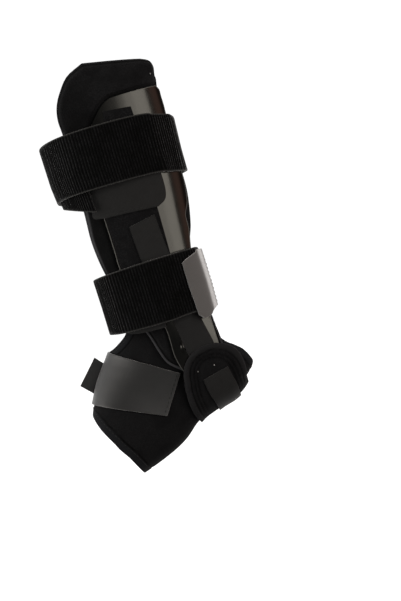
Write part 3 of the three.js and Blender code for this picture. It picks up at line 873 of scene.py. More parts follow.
def inset_path(surface, edge, distance, stand, crosswise=False):
    """Places off a surface, over a line a distance in from its edge at v, or crosswise u, of 0 or 1."""
    run = np.linspace(*SEAM_ENDS, SEAM_SAMPLES)
    place = lambda level: (level, run) if crosswise else (run, level)
    rim, inner = (surface(*place(0 * run + abs(edge - share))) for share in (0, SEAM_STEP))
    u, v = place(np.abs(edge - SEAM_STEP * distance / np.linalg.norm(inner - rim, axis=1)))
    return surface(u, v) + normal_of(surface, u, v) * stand


def sew(name, runs, length, width, material, slot):
    """Rounded stitches on runs, each a piece and a path over its outer face, joined as one piece."""
    threads = bmesh.new()
    for piece, path in runs:
        reach = run_length(path)
        last = reach[-1] - STITCH_END * length
        for middle in np.arange(STITCH_START * length, last, STITCH_PITCH * length):
            spots = (middle, middle + STITCH_AHEAD * length)
            place, ahead = (Vector([np.interp(at, reach, axis) for axis in path.T]) for at in spots)
            _found, spot, normal, _face = piece.closest_point_on_mesh(place * MM)
            across = normal.cross(ahead - place).normalized()
            along = across.cross(normal)
            lie = Matrix((along * length, across * width, normal * width)).transposed().to_4x4()
            lie *= 0.5 * MM
            lie.translation = spot
            bmesh.ops.create_uvsphere(threads, u_segments=6, v_segments=4, radius=1, matrix=lie)
    mesh = bpy.data.meshes.new(name)
    threads.to_mesh(mesh)
    threads.free()
    made = bpy.data.objects.new(name, mesh)
    bpy.context.scene.collection.objects.link(made)
    return dress(made, finish(material), slot)


def even(offset):
    """An offset that is the same all over."""
    return lambda at: offset + 0 * at.u


# Materials.

def linear(hex_colour):
    """An sRGB colour such as "#1a2b3c" as a linear one with alpha."""
    channels = [int(hex_colour[i : i + 2], 16) / 255 for i in (1, 3, 5)]
    return tuple(c / 12.92 if c <= 0.04045 else ((c + 0.055) / 1.055) ** 2.4 for c in channels) + (1.0,)


def add_node(tree, kind, links=None, output=0, **settings):
    """Adds a node with its settings and gives one output; links gives inputs a value or another output."""
    node = tree.nodes.new("ShaderNode" + kind)
    for name, value in settings.items():
        setattr(node, name, value)
    for socket, value in (links or {}).items():
        if isinstance(value, bpy.types.NodeSocket):
            tree.links.new(value, node.inputs[socket])
        else:
            node.inputs[socket].default_value = value
    return node.outputs[output] if node.outputs else None


def start_material(name):
    """Makes a material with an empty node tree and gives the function that adds nodes to it."""
    material = bpy.data.materials.new(name)
    material.use_nodes = True
    material.node_tree.nodes.clear()
    return partial(add_node, material.node_tree)


# Sockets, settings and output of the nodes that ease a value between limits and mix two colours.
VALUE, FROM_LOW, FROM_HIGH, TO_LOW, TO_HIGH = range(5)
EASED = {"interpolation_type": "SMOOTHSTEP"}
SHARE, GROUND, OVER = 0, 6, 7
COLOURS = {"data_type": "RGBA", "output": 2}


def ribbed_loop_pile(look):
    """Nylon loop pile on a webbing: matt tufts with dark pits between them, bright at a glancing angle.

    The tufts are drawn at about twice their size, because at their own they are too fine to show.
    """
    node = start_material("ribbed_loop_pile")
    weave = node("Attribute", output="Vector", attribute_name="weave")
    rim = node("Attribute", output="Fac", attribute_name="rim")
    tufts = node("TexVoronoi", {"Vector": weave, "Scale": 1 / look.loop_pitch, "Randomness": 0.55})
    courses = {"Vector": weave, "Scale": 0.1 * math.pi / look.rib_pitch}
    ribs = node("TexWave", courses, "Fac", bands_direction="X")
    crests = node("MapRange", {VALUE: ribs, FROM_LOW: 0.95, FROM_HIGH: 0.15}, **EASED)
    tips = node("MapRange", {VALUE: tufts, FROM_LOW: 0.7, FROM_HIGH: 0.15, TO_LOW: 0.35}, **EASED)
    crowns = node("Math", {0: tips, 1: crests}, operation="MULTIPLY")
    mottle = node("TexNoise", {"Vector": weave, "Scale": 1 / (6 * look.loop_pitch), "Detail": 3.0})
    worn = node("MapRange", {VALUE: mottle, FROM_LOW: 0.35, FROM_HIGH: 0.75}, **EASED)
    pile = node("Mix", {SHARE: crowns, GROUND: look.strap_pit, OVER: look.strap}, **COLOURS)
    pile = node("Mix", {SHARE: worn, GROUND: pile, OVER: look.strap_pit}, **COLOURS)
    # The pale edge band is partly the strap's selvedge and partly a painted highlight where the fuzzy edge
    # catches the light.
    edge = node("MapRange", {VALUE: rim, FROM_LOW: look.selvedge, FROM_HIGH: 0.3 * look.selvedge}, **EASED)
    pile = node("Mix", {SHARE: edge, GROUND: pile, OVER: look.selvedge_colour}, **COLOURS)
    bloom = node("MapRange", {VALUE: crowns, TO_LOW: 0.1, TO_HIGH: 0.75})
    relief = node("Bump", {"Height": crowns, "Distance": 0.5 * MM, "Strength": 0.2})
    shader = node("BsdfPrincipled", {
        "Base Color": pile, "Normal": relief, "Roughness": 0.95, "Specular IOR Level": 0.04,
        "Sheen Weight": bloom, "Sheen Roughness": 0.35,
    })
    node("OutputMaterial", {"Surface": shader})


def napped_cloth(look, name, ground, raised, edge_colour, edge, soft):
    """Brushed cloth over foam: a short nap in patches, an edge band of another shade, which on some pieces
    is a painted highlight, and painted shade in the sewn grooves and wherever else a piece marks it.
    """
    node = start_material(name)
    place = node("TexCoord", output="Object")
    rim = node("Attribute", output="Fac", attribute_name="rim")
    crease = node("Attribute", output="Fac", attribute_name="crease")
    nap = node("TexNoise", {"Vector": place, "Scale": 1 / look.nap, "Detail": 5.0})
    tips = node("MapRange", {VALUE: nap, FROM_LOW: 0.3, FROM_HIGH: 0.72}, **EASED)
    patches = node("TexNoise", {"Vector": place, "Scale": 1 / (16 * look.nap), "Detail": 3.0})
    stroked = node("MapRange", {VALUE: patches, FROM_LOW: 0.38, FROM_HIGH: 0.72}, **EASED)
    cloth = node("Mix", {SHARE: tips, GROUND: ground, OVER: raised}, **COLOURS)
    cloth = node("Mix", {SHARE: stroked, GROUND: cloth, OVER: ground}, **COLOURS)
    limits = {FROM_LOW: (1 + soft) * edge, FROM_HIGH: (1 - soft) * edge}
    bound = node("MapRange", {VALUE: rim, **limits}, **EASED)
    cloth = node("Mix", {SHARE: bound, GROUND: cloth, OVER: edge_colour}, **COLOURS)
    # Painted shade: the cloth is darkened where a piece marks its grooves or other shaded places.
    cloth = node("Mix", {SHARE: crease, GROUND: cloth, OVER: look.crease}, **COLOURS)
    relief = node("Bump", {"Height": nap, "Distance": 0.35 * MM, "Strength": 0.5})
    shader = node("BsdfPrincipled", {
        "Base Color": cloth, "Normal": relief, "Roughness": 0.94, "Specular IOR Level": 0.06,
        "Sheen Weight": 0.03, "Sheen Roughness": 0.4,
    })
    node("OutputMaterial", {"Surface": shader})


def brushed_knit(look):
    """Brushed knit of the pads: a dull black with a paler band along its edge, partly a real woven binding
    and partly a painted highlight on the lit edge, blended soft along its border.
    """
    cloth = (look.pad, look.pad_nap, look.binding_colour)
    napped_cloth(look, "brushed_knit_over_foam", *cloth, look.binding, 0.5)


def velvet_sleeve(look):
    """Velvety laminate of knit and foam: deep black, with a hem turned over and sewn flat."""
    cloth = (look.sleeve, look.sleeve_nap, look.hem_colour)
    napped_cloth(look, "velvet_faced_foam", *cloth, look.hem, 0.03)


def velvet_quilt(look):
    """The sleeve's cloth over the stirrup's padded pockets, sewn down in rolls; the outer roll is painted
    paler, a painted highlight where it catches the light.
    """
    cloth = (look.sleeve, look.sleeve_nap, look.roll_colour)
    napped_cloth(look, "velvet_quilted_foam", *cloth, look.roll, 0.1)


def woven_tape(
    look, name="woven_polyester_tape", thread="tape", gap="tape_gap", cut_edge="tape_cut",
    sheen=0.8, dull=0.42, shine=0.4, bloom=0.3,
):
    """Flat polyester tape, woven close: a matt grey, pale at a glancing angle.

    Its threads are drawn coarser than they are, so that they show. Its sheen spreads with bloom.
    """
    node = start_material(name)
    thread_colour, gap_colour, cut_colour = (getattr(look, part) for part in (thread, gap, cut_edge))
    weave = node("Attribute", output="Vector", attribute_name="weave")
    rim = node("Attribute", output="Fac", attribute_name="rim")
    bands = {"Vector": weave, "Scale": 0.1 * math.pi / look.thread_pitch}
    warp, weft = (node("TexWave", bands, output="Fac", bands_direction=way) for way in "XY")
    threads = node("Math", {0: warp, 1: weft}, operation="MULTIPLY")
    dust = node("TexNoise", {"Vector": weave, "Scale": 1 / (6 * MM), "Detail": 4.0})
    dulled = node("MapRange", {VALUE: dust, FROM_LOW: 0.45, FROM_HIGH: 0.8}, **EASED)
    cloth = node("Mix", {SHARE: threads, GROUND: gap_colour, OVER: thread_colour}, **COLOURS)
    cloth = node("Mix", {SHARE: dulled, GROUND: cloth, OVER: gap_colour}, **COLOURS)
    cut = node("MapRange", {VALUE: rim, FROM_LOW: 0.9 * MM, FROM_HIGH: 0.3 * MM}, **EASED)
    cloth = node("Mix", {SHARE: cut, GROUND: cloth, OVER: cut_colour}, **COLOURS)
    relief = node("Bump", {"Height": threads, "Distance": 0.12 * MM, "Strength": 0.5})
    shader = node("BsdfPrincipled", {
        "Base Color": cloth, "Normal": relief, "Roughness": dull, "Specular IOR Level": shine,
        "Sheen Weight": sheen, "Sheen Roughness": bloom,
    })
    node("OutputMaterial", {"Surface": shader})


def strap_end_tape(look):
    """The same tape for the straps' pull ends, paler than the others, partly their own grey and partly a
    painted highlight of the light they catch; it shines most where it turns away.
    """
    surface = {"sheen": 1.0, "dull": 0.8, "shine": 0.2, "bloom": 0.66}
    woven_tape(look, "pale_polyester_tape", "end_tape", "end_gap", "end_tape", **surface)


def hook_tape(look):
    """Dark tape with a fine face of hooks, which dulls it: the strips on the shells and the heel."""
    woven_tape(look, "dark_hook_tape", "strip", "strip_gap", "strip_gap", sheen=0.2, dull=0.8, shine=0.2)


def loop_velvet(look):
    """Short loop velvet bonded to the shell: dull black, faintly mottled where the pile lies both ways."""
    node = start_material("bonded_loop_velvet")
    weave = node("Attribute", output="Vector", attribute_name="weave")
    loops = node("TexVoronoi", {"Vector": weave, "Scale": 1 / (0.5 * look.loop_pitch)})
    crowns = node("MapRange", {VALUE: loops, FROM_LOW: 0.75, FROM_HIGH: 0.1}, **EASED)
    lie = node("TexNoise", {"Vector": weave, "Scale": 1 / (8 * MM), "Detail": 4.0})
    laid = node("MapRange", {VALUE: lie, FROM_LOW: 0.4, FROM_HIGH: 0.7}, **EASED)
    pile = node("Mix", {SHARE: crowns, GROUND: look.patch, OVER: look.patch_tip}, **COLOURS)
    pile = node("Mix", {SHARE: laid, GROUND: pile, OVER: look.patch}, **COLOURS)
    relief = node("Bump", {"Height": crowns, "Distance": 0.3 * MM, "Strength": 0.6})
    shader = node("BsdfPrincipled", {
        "Base Color": pile, "Normal": relief, "Roughness": 0.95, "Specular IOR Level": 0.06,
        "Sheen Weight": 0.03, "Sheen Roughness": 0.5,
    })
    node("OutputMaterial", {"Surface": shader})


def moulded_plastic(look):
    """Black ABS moulded in a polished tool: a clear gloss with slow waves and some haze; its rim is painted
    paler and rougher, a painted highlight along the edge.
    """
    node = start_material("moulded_gloss_abs")
    place = node("TexCoord", output="Object")
    rim = node("Attribute", output="Fac", attribute_name="rim")
    # Painted highlight: a paler, rougher band along the shell's rim.
    rubbed = node("MapRange", {VALUE: rim, FROM_LOW: look.rub, FROM_HIGH: 0.3 * look.rub}, **EASED)
    plastic = node("Mix", {SHARE: rubbed, GROUND: look.shell, OVER: look.shell_rim}, **COLOURS)
    haze = node("TexNoise", {"Vector": place, "Scale": 1 / (7 * MM), "Detail": 6.0})
    gloss = node("MapRange", {VALUE: haze, TO_LOW: 0.14, TO_HIGH: 0.22})
    gloss = node("MapRange", {VALUE: rubbed, TO_LOW: gloss, TO_HIGH: 0.5})
    waves = node("TexNoise", {"Vector": place, "Scale": 1 / (35 * MM), "Detail": 1.0})
    relief = node("Bump", {"Height": waves, "Distance": 1.5 * MM, "Strength": 0.25})
    shader = node("BsdfPrincipled", {
        "Base Color": plastic, "Normal": relief, "Roughness": gloss, "IOR": 1.5,
        "Specular Tint": look.shell_shine,
    })
    node("OutputMaterial", {"Surface": shader})


def satin_label(look):
    """Woven satin label tape, left bare: close black threads with a soft shine."""
    node = start_material("bare_satin_label")
    weave = node("Attribute", output="Vector", attribute_name="weave")
    bands = {"Vector": weave, "Scale": 0.1 * math.pi / look.thread_pitch}
    threads = node("TexWave", bands, output="Fac", bands_direction="Y")
    satin = node("Mix", {SHARE: threads, GROUND: look.label, OVER: look.strip_gap}, **COLOURS)
    relief = node("Bump", {"Height": threads, "Distance": 0.1 * MM, "Strength": 0.4})
    shader = node("BsdfPrincipled", {
        "Base Color": satin, "Normal": relief, "Roughness": 0.5, "Specular IOR Level": 0.4,
        "Sheen Weight": 0.1,
    })
    node("OutputMaterial", {"Surface": shader})


def sewing_thread(look, name="polyester_thread", thread="thread", twist="strip_gap"):
    """Twisted polyester thread: dark with a slight shine on each stitch."""
    node = start_material(name)
    place = node("TexCoord", output="Object")
    twists = node("TexNoise", {"Vector": place, "Scale": 1 / (0.5 * MM), "Detail": 2.0})
    thread_colour, twist_colour = getattr(look, thread), getattr(look, twist)
    fibre = node("Mix", {SHARE: twists, GROUND: thread_colour, OVER: twist_colour}, **COLOURS)
    shader = node("BsdfPrincipled", {
        "Base Color": fibre, "Roughness": 0.7, "Specular IOR Level": 0.2, "Sheen Weight": 0.05,
    })
    node("OutputMaterial", {"Surface": shader})


def tack_thread(look):
    """Pale thread of the small tacks that hold the lining: bright specks on the black cloth, whose paleness
    is partly a painted glint.
    """
    sewing_thread(look, "pale_tack_thread", "tack", "end_tape")


def painted_floor(look):
    """Matt white studio floor: even and pale, with a trace of unevenness in its paint."""
    node = start_material("matt_white_paint")
    place = node("TexCoord", output="Object")
    paint = node("TexNoise", {"Vector": place, "Scale": 6.0, "Detail": 2.0})
    coat = node("Mix", {SHARE: paint, GROUND: look.floor, OVER: linear("#f4f4f4")}, **COLOURS)
    shader = node("BsdfPrincipled", {
        "Base Color": coat, "Roughness": 0.9, "Emission Color": linear("#ffffff"), "Emission Strength": 0.8,
    })
    node("OutputMaterial", {"Surface": shader})


FINISHES = (
    ribbed_loop_pile,
    brushed_knit,
    velvet_sleeve,
    velvet_quilt,
    woven_tape,
    strap_end_tape,
    hook_tape,
    loop_velvet,
    moulded_plastic,
    satin_label,
    sewing_thread,
    tack_thread,
    painted_floor,
)


# Settings that a user would change.

def length(name, description, millimetres):
    return bpy.props.FloatProperty(
        name=name, description=description, default=millimetres * MM, min=0, precision=5, unit="LENGTH"
    )


def colour(name, description, hex_colour):
    shade = {"default": linear(hex_colour), "size": 4, "min": 0, "max": 1, "subtype": "COLOR"}
    return bpy.props.FloatVectorProperty(name=name, description=description, **shade)


def radiance(name, description, default):
    return bpy.props.FloatProperty(name=name, description=description, default=default, min=0)


class BraceLook(bpy.types.PropertyGroup):
    """Sizes and colours of the brace's cloth and plastic."""

    rib_pitch: length("Rib pitch", "From one rib of a leg strap to the next", 2.5)
    rib_height: length("Rib height", "How far a strap's ribs stand up", 0.35)
    loop_pitch: length("Loop pitch", "From one drawn tuft of loop pile to the next", 1.9)
    nap: length("Nap", "Size of the brushed nap on the pads and the sleeve", 0.9)
    thread_pitch: length("Thread pitch", "From one thread of the grey tapes to the next", 1.0)
    # Width of the pale edge band, partly selvedge and partly painted highlight.
    selvedge: length("Selvedge", "Width of the light edge of a leg strap", 1.5)
    binding: length("Binding", "Width of the tape that binds a pad's edge", 2.4)
    hem: length("Hem", "Width of the sleeve's hems", 7.5)
    # This width also sets the band of the painted highlight on the outer roll.
    roll: length("Roll", "Width of the outer roll of a stirrup's pocket", 5.2)
    # Width of the painted highlight along a shell's rim.
    rub: length("Rub", "Width of the rubbed rim of a shell", 1.0)
    stitch: length("Stitch", "Length of a stitch", 2.6)
    strap: colour("Strap", "Loop pile of the leg straps", "#161617")
    strap_pit: colour("Strap pits", "Between the tufts of the leg straps", "#070707")
    # Partly the selvedge's own colour and partly a painted highlight on the straps' edges.
    selvedge_colour: colour("Selvedge", "Edge of the leg straps", "#333332")
    pad: colour("Pad", "Cloth of the pads", "#101011")
    pad_nap: colour("Pad nap", "Raised nap of the pads", "#1d1d1e")
    # Partly the real binding tape and partly a painted highlight on the pads' lit edge.
    binding_colour: colour("Binding", "Tape round the pads", "#38383a")
    sleeve: colour("Sleeve", "Cloth of the sleeve and the stirrup", "#111112")
    sleeve_nap: colour("Sleeve nap", "Raised nap of the sleeve", "#1a1a1b")
    hem_colour: colour("Hem", "Hems of the sleeve", "#1b1c1e")
    # A painted highlight on the outer roll of the pockets.
    roll_colour: colour("Rolls", "Sewn roll round the stirrup's pockets", "#1f1f20")
    tape: colour("Tape", "Grey tapes and strap ends", "#292929")
    tape_gap: colour("Tape gaps", "Between the threads of the grey tapes", "#1d1d1d")
    tape_cut: colour("Tape edge", "Cut edge of the grey tapes", "#353433")
    strip: colour("Strip", "Hook strips on the shells and the heel", "#262626")
    strip_gap: colour("Strip gaps", "Between the threads of the hook strips", "#1b1b1b")
    # Paler partly as the ends' own grey and partly as a painted highlight of the light they catch.
    end_tape: colour("Strap end", "Pull ends of the leg straps", "#3b3835")
    end_gap: colour("Strap end gaps", "Between the threads of the pull ends", "#2d2b29")
    patch: colour("Patch", "Velvet patches on the shells", "#111112")
    patch_tip: colour("Patch tips", "Tips of the velvet's loops", "#1d1d1e")
    shell: colour("Shell", "Plastic of the side shells", "#040404")
    # A painted highlight along the shells' edge.
    shell_rim: colour("Shell rim", "Rubbed rim of the shells", "#484846")
    shell_shine: colour("Shell shine", "Tint of the light that the shells mirror", "#fffcf2")
    thread: colour("Thread", "Sewing thread", "#101010")
    # Pale partly as thread and partly as a painted glint.
    tack: colour("Tack", "Pale tacks of thread", "#d2d2cf")
    # Colour of the painted shade in the cloth's sewn grooves and between the straps.
    crease: colour("Creases", "Sewn grooves of the cloth", "#050505")
    label: colour("Label", "Bare label", "#1c1c1d")
    floor: colour("Floor", "Studio floor", "#ececea")


class BraceStudio(bpy.types.PropertyGroup):
    """Camera and light."""

    pixel: length("Pixel", "Size of a picture pixel on the brace's near side", 0.88)
    distance: length("Distance", "From the camera to the brace's near side", 1500)
    near_side: length("Near side", "How far the near side stands before the middle plane", 50)
    centre_x: length("Centre X", "Middle of the picture, behind the ankle", 35.4)
    centre_z: length("Centre Z", "Middle of the picture, above the ankle", 30.1)
    lean: bpy.props.FloatProperty(
        name="Lean",
        description="How far the leg leans in the picture",
        default=math.radians(17),
        subtype="ANGLE",
    )
    key: radiance("Key", "Radiance of the panels on the heel side", 3.0)
    fill: radiance("Fill", "Radiance of the panel on the toe side", 3.4)
    top: radiance("Top", "Radiance of the panel overhead", 1.6)


# Pieces.

def finish(name):
    return bpy.data.materials[name]


def signed_distance(x, z, outline_x, outline_z):
    """Millimetres from places to a closed outline, negative inside it."""
    nearest = np.full(x.shape, np.inf)
    inside = np.zeros(x.shape, bool)
    for ax, az, bx, bz in zip(outline_x, outline_z, np.roll(outline_x, -1), np.roll(outline_z, -1)):
        run_x, run_z = bx - ax, bz - az
        share = ((x - ax) * run_x + (z - az) * run_z) / (run_x**2 + run_z**2 + 1e-9)
        along = np.clip(share, 0, 1)
        nearest = np.minimum(nearest, np.hypot(x - mix(ax, bx, along), z - mix(az, bz, along)))
        inside ^= ((az > z) != (bz > z)) & (x < run_x * (z - az) / (run_z + 1e-12) + ax)
    return np.where(inside, -nearest, nearest)


class BRACE_OT_materials(bpy.types.Operator):
    """Make the finishes of every surface"""

    bl_idname = "brace.materials"
    bl_label = "Finishes"

    def execute(self, context):
        for make in FINISHES:
            make(context.scene.brace_look)
        return {"FINISHED"}


# Pads: the share of the height at which the edge is seen, the width of the rounded margin and the
# share that it starts at, the plump top with the heights and the distances from the edge that it
# grows over, the height and size of the foam's slow swell, how the sewn binding rises and the
# cloth sinks beside it, and how far the back stands off the leg.
PAD_EDGE_STAND = 0.6
PAD_ROLL = 9
PAD_EDGE_SHARE = 0.42
PLUMP = 2.2
PLUMP_HEIGHT = (196, 226)
PLUMP_EDGE = (4, 26)
FOAM_SWELL = (0.25, 34)
BINDING_RISE = 0.45
BINDING_SINK = 0.6
PAD_LIFT = 1.5 * LAYER_GAP
# The pad comes down to the shell between these distances from its edge.
SHELL_SEAT = (0.4, 3.6)
SHELL_EDGE_SAMPLES = 120
# Painted light on the pads: the painted shade along the binding's seam is faint above the ankle,
# painted shade darkens the cloth between the straps and the front of the top is darker too, and the
# pale binding band, partly a painted highlight on the lit edge, widens over the front and fades
# towards the top and, above the ankle, at the back.
FAINT_SEAM = 0.3
FAINT_HEIGHT = (60, 120)
FLAT_NAP = 0.6
FLAT_BETWEEN = ((60, 85), (160, 135))
FLAT_TOP_HEIGHT = (185, 205)
FLAT_TOP_FRONT = (2, -22)
BINDING_TURN = 1.4
TURN_HEIGHT = ((60, 95), (215, 190))
TURN_FRONT = (-10, -30)
FADE_TOP = (205, 228)
FADE_BACK = (-12, 10)
FADE_BACK_HEIGHT = (60, 130)


class BRACE_OT_pads(bpy.types.Operator):
    """Make the foam pads: a bound edge, a full margin and a seat for the shell"""

    bl_idname = "brace.pads"
    bl_label = "Foam pads"

    def execute(self, context):
        bound = context.scene.brace_look.binding / MM
        full = lambda z: read(STANDOFF, "z", z).pad
        surface = panel(PAD_OUTLINE, lambda z: PAD_EDGE_STAND * full(z))
        shell = panel(SHELL_OUTLINE, shell_outer)
        t = np.linspace(0, 1, SHELL_EDGE_SAMPLES)
        sides = ((0 * t, t), (t, 0 * t + 1), (0 * t + 1, t[::-1]), (t[::-1], 0 * t))
        edge = np.concatenate([shell(u, v) for u, v in sides])

        def shade(at):
            """Sets the painted shade of the seam, between the straps and on the front of the top, and where
            the pale binding band, partly a painted highlight, shows.
            """
            # Painted shade in the seam's groove and between the straps; the front of the top is darkened
            # too.
            seam = line(at.rim, bound + 0.5, 0.7) * mix(1, FAINT_SEAM, ease(at.z, *FAINT_HEIGHT))
            top_front = ease(at.z, *FLAT_TOP_HEIGHT) * ease(at.x, *FLAT_TOP_FRONT)
            flat = FLAT_NAP * np.maximum(band(at.z, *FLAT_BETWEEN), top_front)
            at.crease = np.maximum(seam, flat * ease(at.rim, 2 * bound, 3 * bound))
            # The pale binding band, partly a painted highlight on the lit edge, is taken off the top and,
            # above the ankle, the back, and widened over the front.
            back = ease(at.x, *FADE_BACK) * ease(at.z, *FADE_BACK_HEIGHT)
            faded = np.maximum(ease(at.z, *FADE_TOP), back)
            turned = BINDING_TURN * band(at.z, *TURN_HEIGHT) * ease(at.x, *TURN_FRONT)
            at.rim = at.rim + bound * (2 * faded - turned)

        def outside(at):
            rise = np.clip(at.rim / PAD_ROLL, 0, 1)
            margin = full(at.z) * mix(PAD_EDGE_SHARE, 1, np.sqrt(1 - (1 - rise) ** 2))
            margin += PLUMP * ease(at.z, *PLUMP_HEIGHT) * ease(at.rim, *PLUMP_EDGE) + swell(at, *FOAM_SWELL)
            margin += BINDING_RISE * ease(at.rim, bound + 0.6, bound - 0.4)
            margin -= BINDING_SINK * line(at.rim, bound + 0.9, 0.9)
            shade(at)
            clear = signed_distance(at.x, at.z, edge[:, 0], edge[:, 2])
            seat = standoff(at.z) - LAYER_GAP
            return mix(np.minimum(seat, margin), margin, ease(clear, *SHELL_SEAT))

        pad = wall("medial_foam_pad", surface, "pad", even(PAD_LIFT), outside)
        for made in both_sides(pad, "foam_pad", finish("brushed_knit_over_foam"), "brushed_cloth", "pad"):
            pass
        return {"FINISHED"}


# The painted highlight on a shell's rim is left off the front of its top, from these heights and places
# along the foot.
POLISH_HEIGHT = (150, 180)
POLISH_FRONT = (34, 12)
# The small oval boss at the ankle end of a shell: its place, radii and rise.
BOSS_PLACE = (8.7, -4.5)
BOSS_RADII = (2.3, 4)
BOSS_RISE = 1.2


class BRACE_OT_shells(bpy.types.Operator):
    """Make the moulded side shells"""

    bl_idname = "brace.shells"
    bl_label = "Side shells"

    def execute(self, context):
        look = context.scene.brace_look
        surface = panel(SHELL_OUTLINE, shell_outer)

        def outside(at):
            # The rim's painted highlight is pushed off the front of the top.
            kept = ease(at.z, *POLISH_HEIGHT) * ease(at.x, *POLISH_FRONT)
            at.rim = at.rim + 2 * look.rub / MM * kept
            return shell_outer(at.z) + BOSS_RISE * dome(at, BOSS_PLACE, BOSS_RADII)

        shell = wall("medial_side_shell", surface, "shell", lambda at: standoff(at.z), outside)
        both_sides(shell, "side_shell", finish("moulded_gloss_abs"), "gloss_shell", "shell")
        return {"FINISHED"}


# Slow swell of the flat cloths: its height and its size.
PATCH_SWELL = (0.08, 16)


class BRACE_OT_patches(bpy.types.Operator):
    """Make the velvet patches, the lift strips and the tape under the upper strap"""

    bl_idname = "brace.patches"
    bl_label = "Patches and strips"

    def cloth(self, name, outline, under, grid):
        """A flat cloth on the layer under it."""
        surface = panel(outline, lambda z: under(z) + FABRIC_WALL)
        inside = lambda at: under(at.z) + LAYER_GAP
        outside = lambda at: inside(at) + FABRIC_WALL + swell(at, *PATCH_SWELL)
        return wall(name, surface, grid, inside, outside)

    def execute(self, context):
        velvet = ("bonded_loop_velvet", "patch_loop")
        hooks = ("dark_hook_tape", "hook_tape")
        for words, outline, under, (material, slot), node, bed in (
            ("velvet_patch", LOOP_PATCH_OUTLINE, shell_outer, velvet, "loop_patch", "side_shell"),
            ("top_patch", HOOK_PATCH_OUTLINE, shell_outer, velvet, "hook_patch", "side_shell"),
            ("pull_strip", LIFT_STRIP_OUTLINE, strip_under, hooks, "lift_strip", "velvet_patch"),
        ):
            patch = self.cloth(f"medial_{words}", outline, under, words)
            for made, side in zip(both_sides(patch, words, finish(material), slot, node), SIDES):
                declare_sheet(made, f"{side}_{bed}")
        base = self.cloth("upper_strap_base", UPPER_ANCHOR_OUTLINE, patch_outer, "strap_base")
        dress(base, finish("dark_hook_tape"), "hook_tape", "upper_strap_anchor")
        declare_sheet(base, "medial_velvet_patch")
        return {"FINISHED"}


# Sleeve: the height and size of its slow swell, the sunk seam of its hems, their rise and slope.
SLEEVE_SWELL = (0.25, 30)
HEM_SINK = 0.5
HEM_RISE = 0.3
HEM_SLOPE = 1.5


class BRACE_OT_sleeve(bpy.types.Operator):
    """Make the foot sleeve with its hems and slight creases"""

    bl_idname = "brace.sleeve"
    bl_label = "Foot sleeve"

    def execute(self, context):
        hem = context.scene.brace_look.hem / MM

        def outside(at):
            # Painted shade along the hems' sewn seam.
            at.crease = line(at.rim, hem + 0.3, 0.7)
            ground = swell(at, *SLEEVE_SWELL) - SLEEVE_SWELL[0]
            return ground - HEM_SINK * at.crease + HEM_RISE * ease(at.rim, hem, hem - HEM_SLOPE)

        sleeve = wall("foot_sleeve", sleeve_surface, "sleeve", even(-SLEEVE_WALL), outside, ring=True)
        dress(sleeve, finish("velvet_faced_foam"), "sleeve_cloth", "ankle_sleeve")
        return {"FINISHED"}


# Seams between a pocket's padded rolls, from its edge inwards, how high the rolls rise, the width of
# a seam, and the heights over the sole between which the rolls begin.
POCKET_SEAMS = (5.2, 8.8, 11.6)
POCKET_ROLLS = (2.2, 1.5, 1.0)
POCKET_SEAM_WIDTH = 0.6
ROLL_START = (1, 14)
# How far the quilting draws the cloth in, how far its middle rises again and where that is full.
QUILT_SINK = 1.3
QUILT_MIDDLE = 1.0
QUILT_FULL = 16
# Gathers in the upper rolls: their height, pitch and inner end, and the heights that they fade in.
GATHER_RISE = 0.35
GATHER_PITCH = 3.6
GATHER_END = 17
GATHER_FADE = (-46, -30)


class BRACE_OT_stirrup(bpy.types.Operator):
    """Make the padded heel stirrup with its quilted pockets, and the tape round it"""

    bl_idname = "brace.stirrup"
    bl_label = "Heel stirrup"

    def execute(self, context):
        inside = lambda at: pocket_inside(at.x, at.z)
        above_sole = lambda at: ease(at.z - sole_under(at.x), *ROLL_START)
        ground = lambda at: inside(at) + STIRRUP_WALL - QUILT_SINK

        def outside(at):
            relief = QUILT_MIDDLE * ease(at.rim, POCKET_SEAMS[-1], QUILT_FULL)
            for start, end, height in zip((0, *POCKET_SEAMS), POCKET_SEAMS, POCKET_ROLLS):
                relief += height * np.sqrt(np.sin(np.pi * np.clip((at.rim - start) / (end - start), 0, 1)))
            gathers = band(at.rim, POCKET_SEAMS[:2], (GATHER_END, POCKET_SEAMS[2]))
            gathers *= ease(at.z, *GATHER_FADE)
            relief += GATHER_RISE * np.cos(2 * np.pi * at.along / GATHER_PITCH) * gathers
            # Painted shade in the seams between the rolls.
            at.crease = 0.5 * sum(line(at.rim, seam, POCKET_SEAM_WIDTH) for seam in POCKET_SEAMS)
            return ground(at) + above_sole(at) * relief

        stirrup = wall("heel_sling", stirrup_surface, "stirrup", inside, outside)
        dress(stirrup, finish("velvet_quilted_foam"), "sleeve_cloth", "heel_stirrup")

        under = lambda at: ground(at) + QUILT_MIDDLE * above_sole(at) + LAYER_GAP
        over = lambda at: under(at) + FABRIC_WALL
        tape = wall("heel_tape", heel_strap_surface, "heel_tape", under, over)
        dress(tape, finish("dark_hook_tape"), "hook_tape", "heel_strap")
        declare_sheet(tape, "heel_sling")
        return {"FINISHED"}


# Slow swell of the instep tape: its height and its size.
TAPE_SWELL = (0.06, 18)


class BRACE_OT_instep(bpy.types.Operator):
    """Make the tape over the instep and the bare label beside it"""

    bl_idname = "brace.instep"
    bl_label = "Instep tape and label"

    def execute(self, context):
        over = lambda at: LAYER_GAP + FABRIC_WALL + swell(at, *TAPE_SWELL)
        tape = wall("instep_tape", instep_strap_surface, "instep_tape", even(LAYER_GAP), over)
        dress(tape, finish("woven_polyester_tape"), "hook_tape", "instep_strap")
        declare_sheet(tape, "foot_sleeve")
        half = LABEL_WALL / 2
        label = wall("bare_label", label_surface, "label", even(-half), even(half))
        dress(label, finish("bare_satin_label"), "label_tape", "label_tab")
        declare_sheet(label, "instep_tape")
        return {"FINISHED"}


# Where the ribs start from a strap's edge, and where a pull end thickens to meet its strap, from
# its sewn end.
RIB_START = (0.2, 2)
END_JOINT = (14, 8)


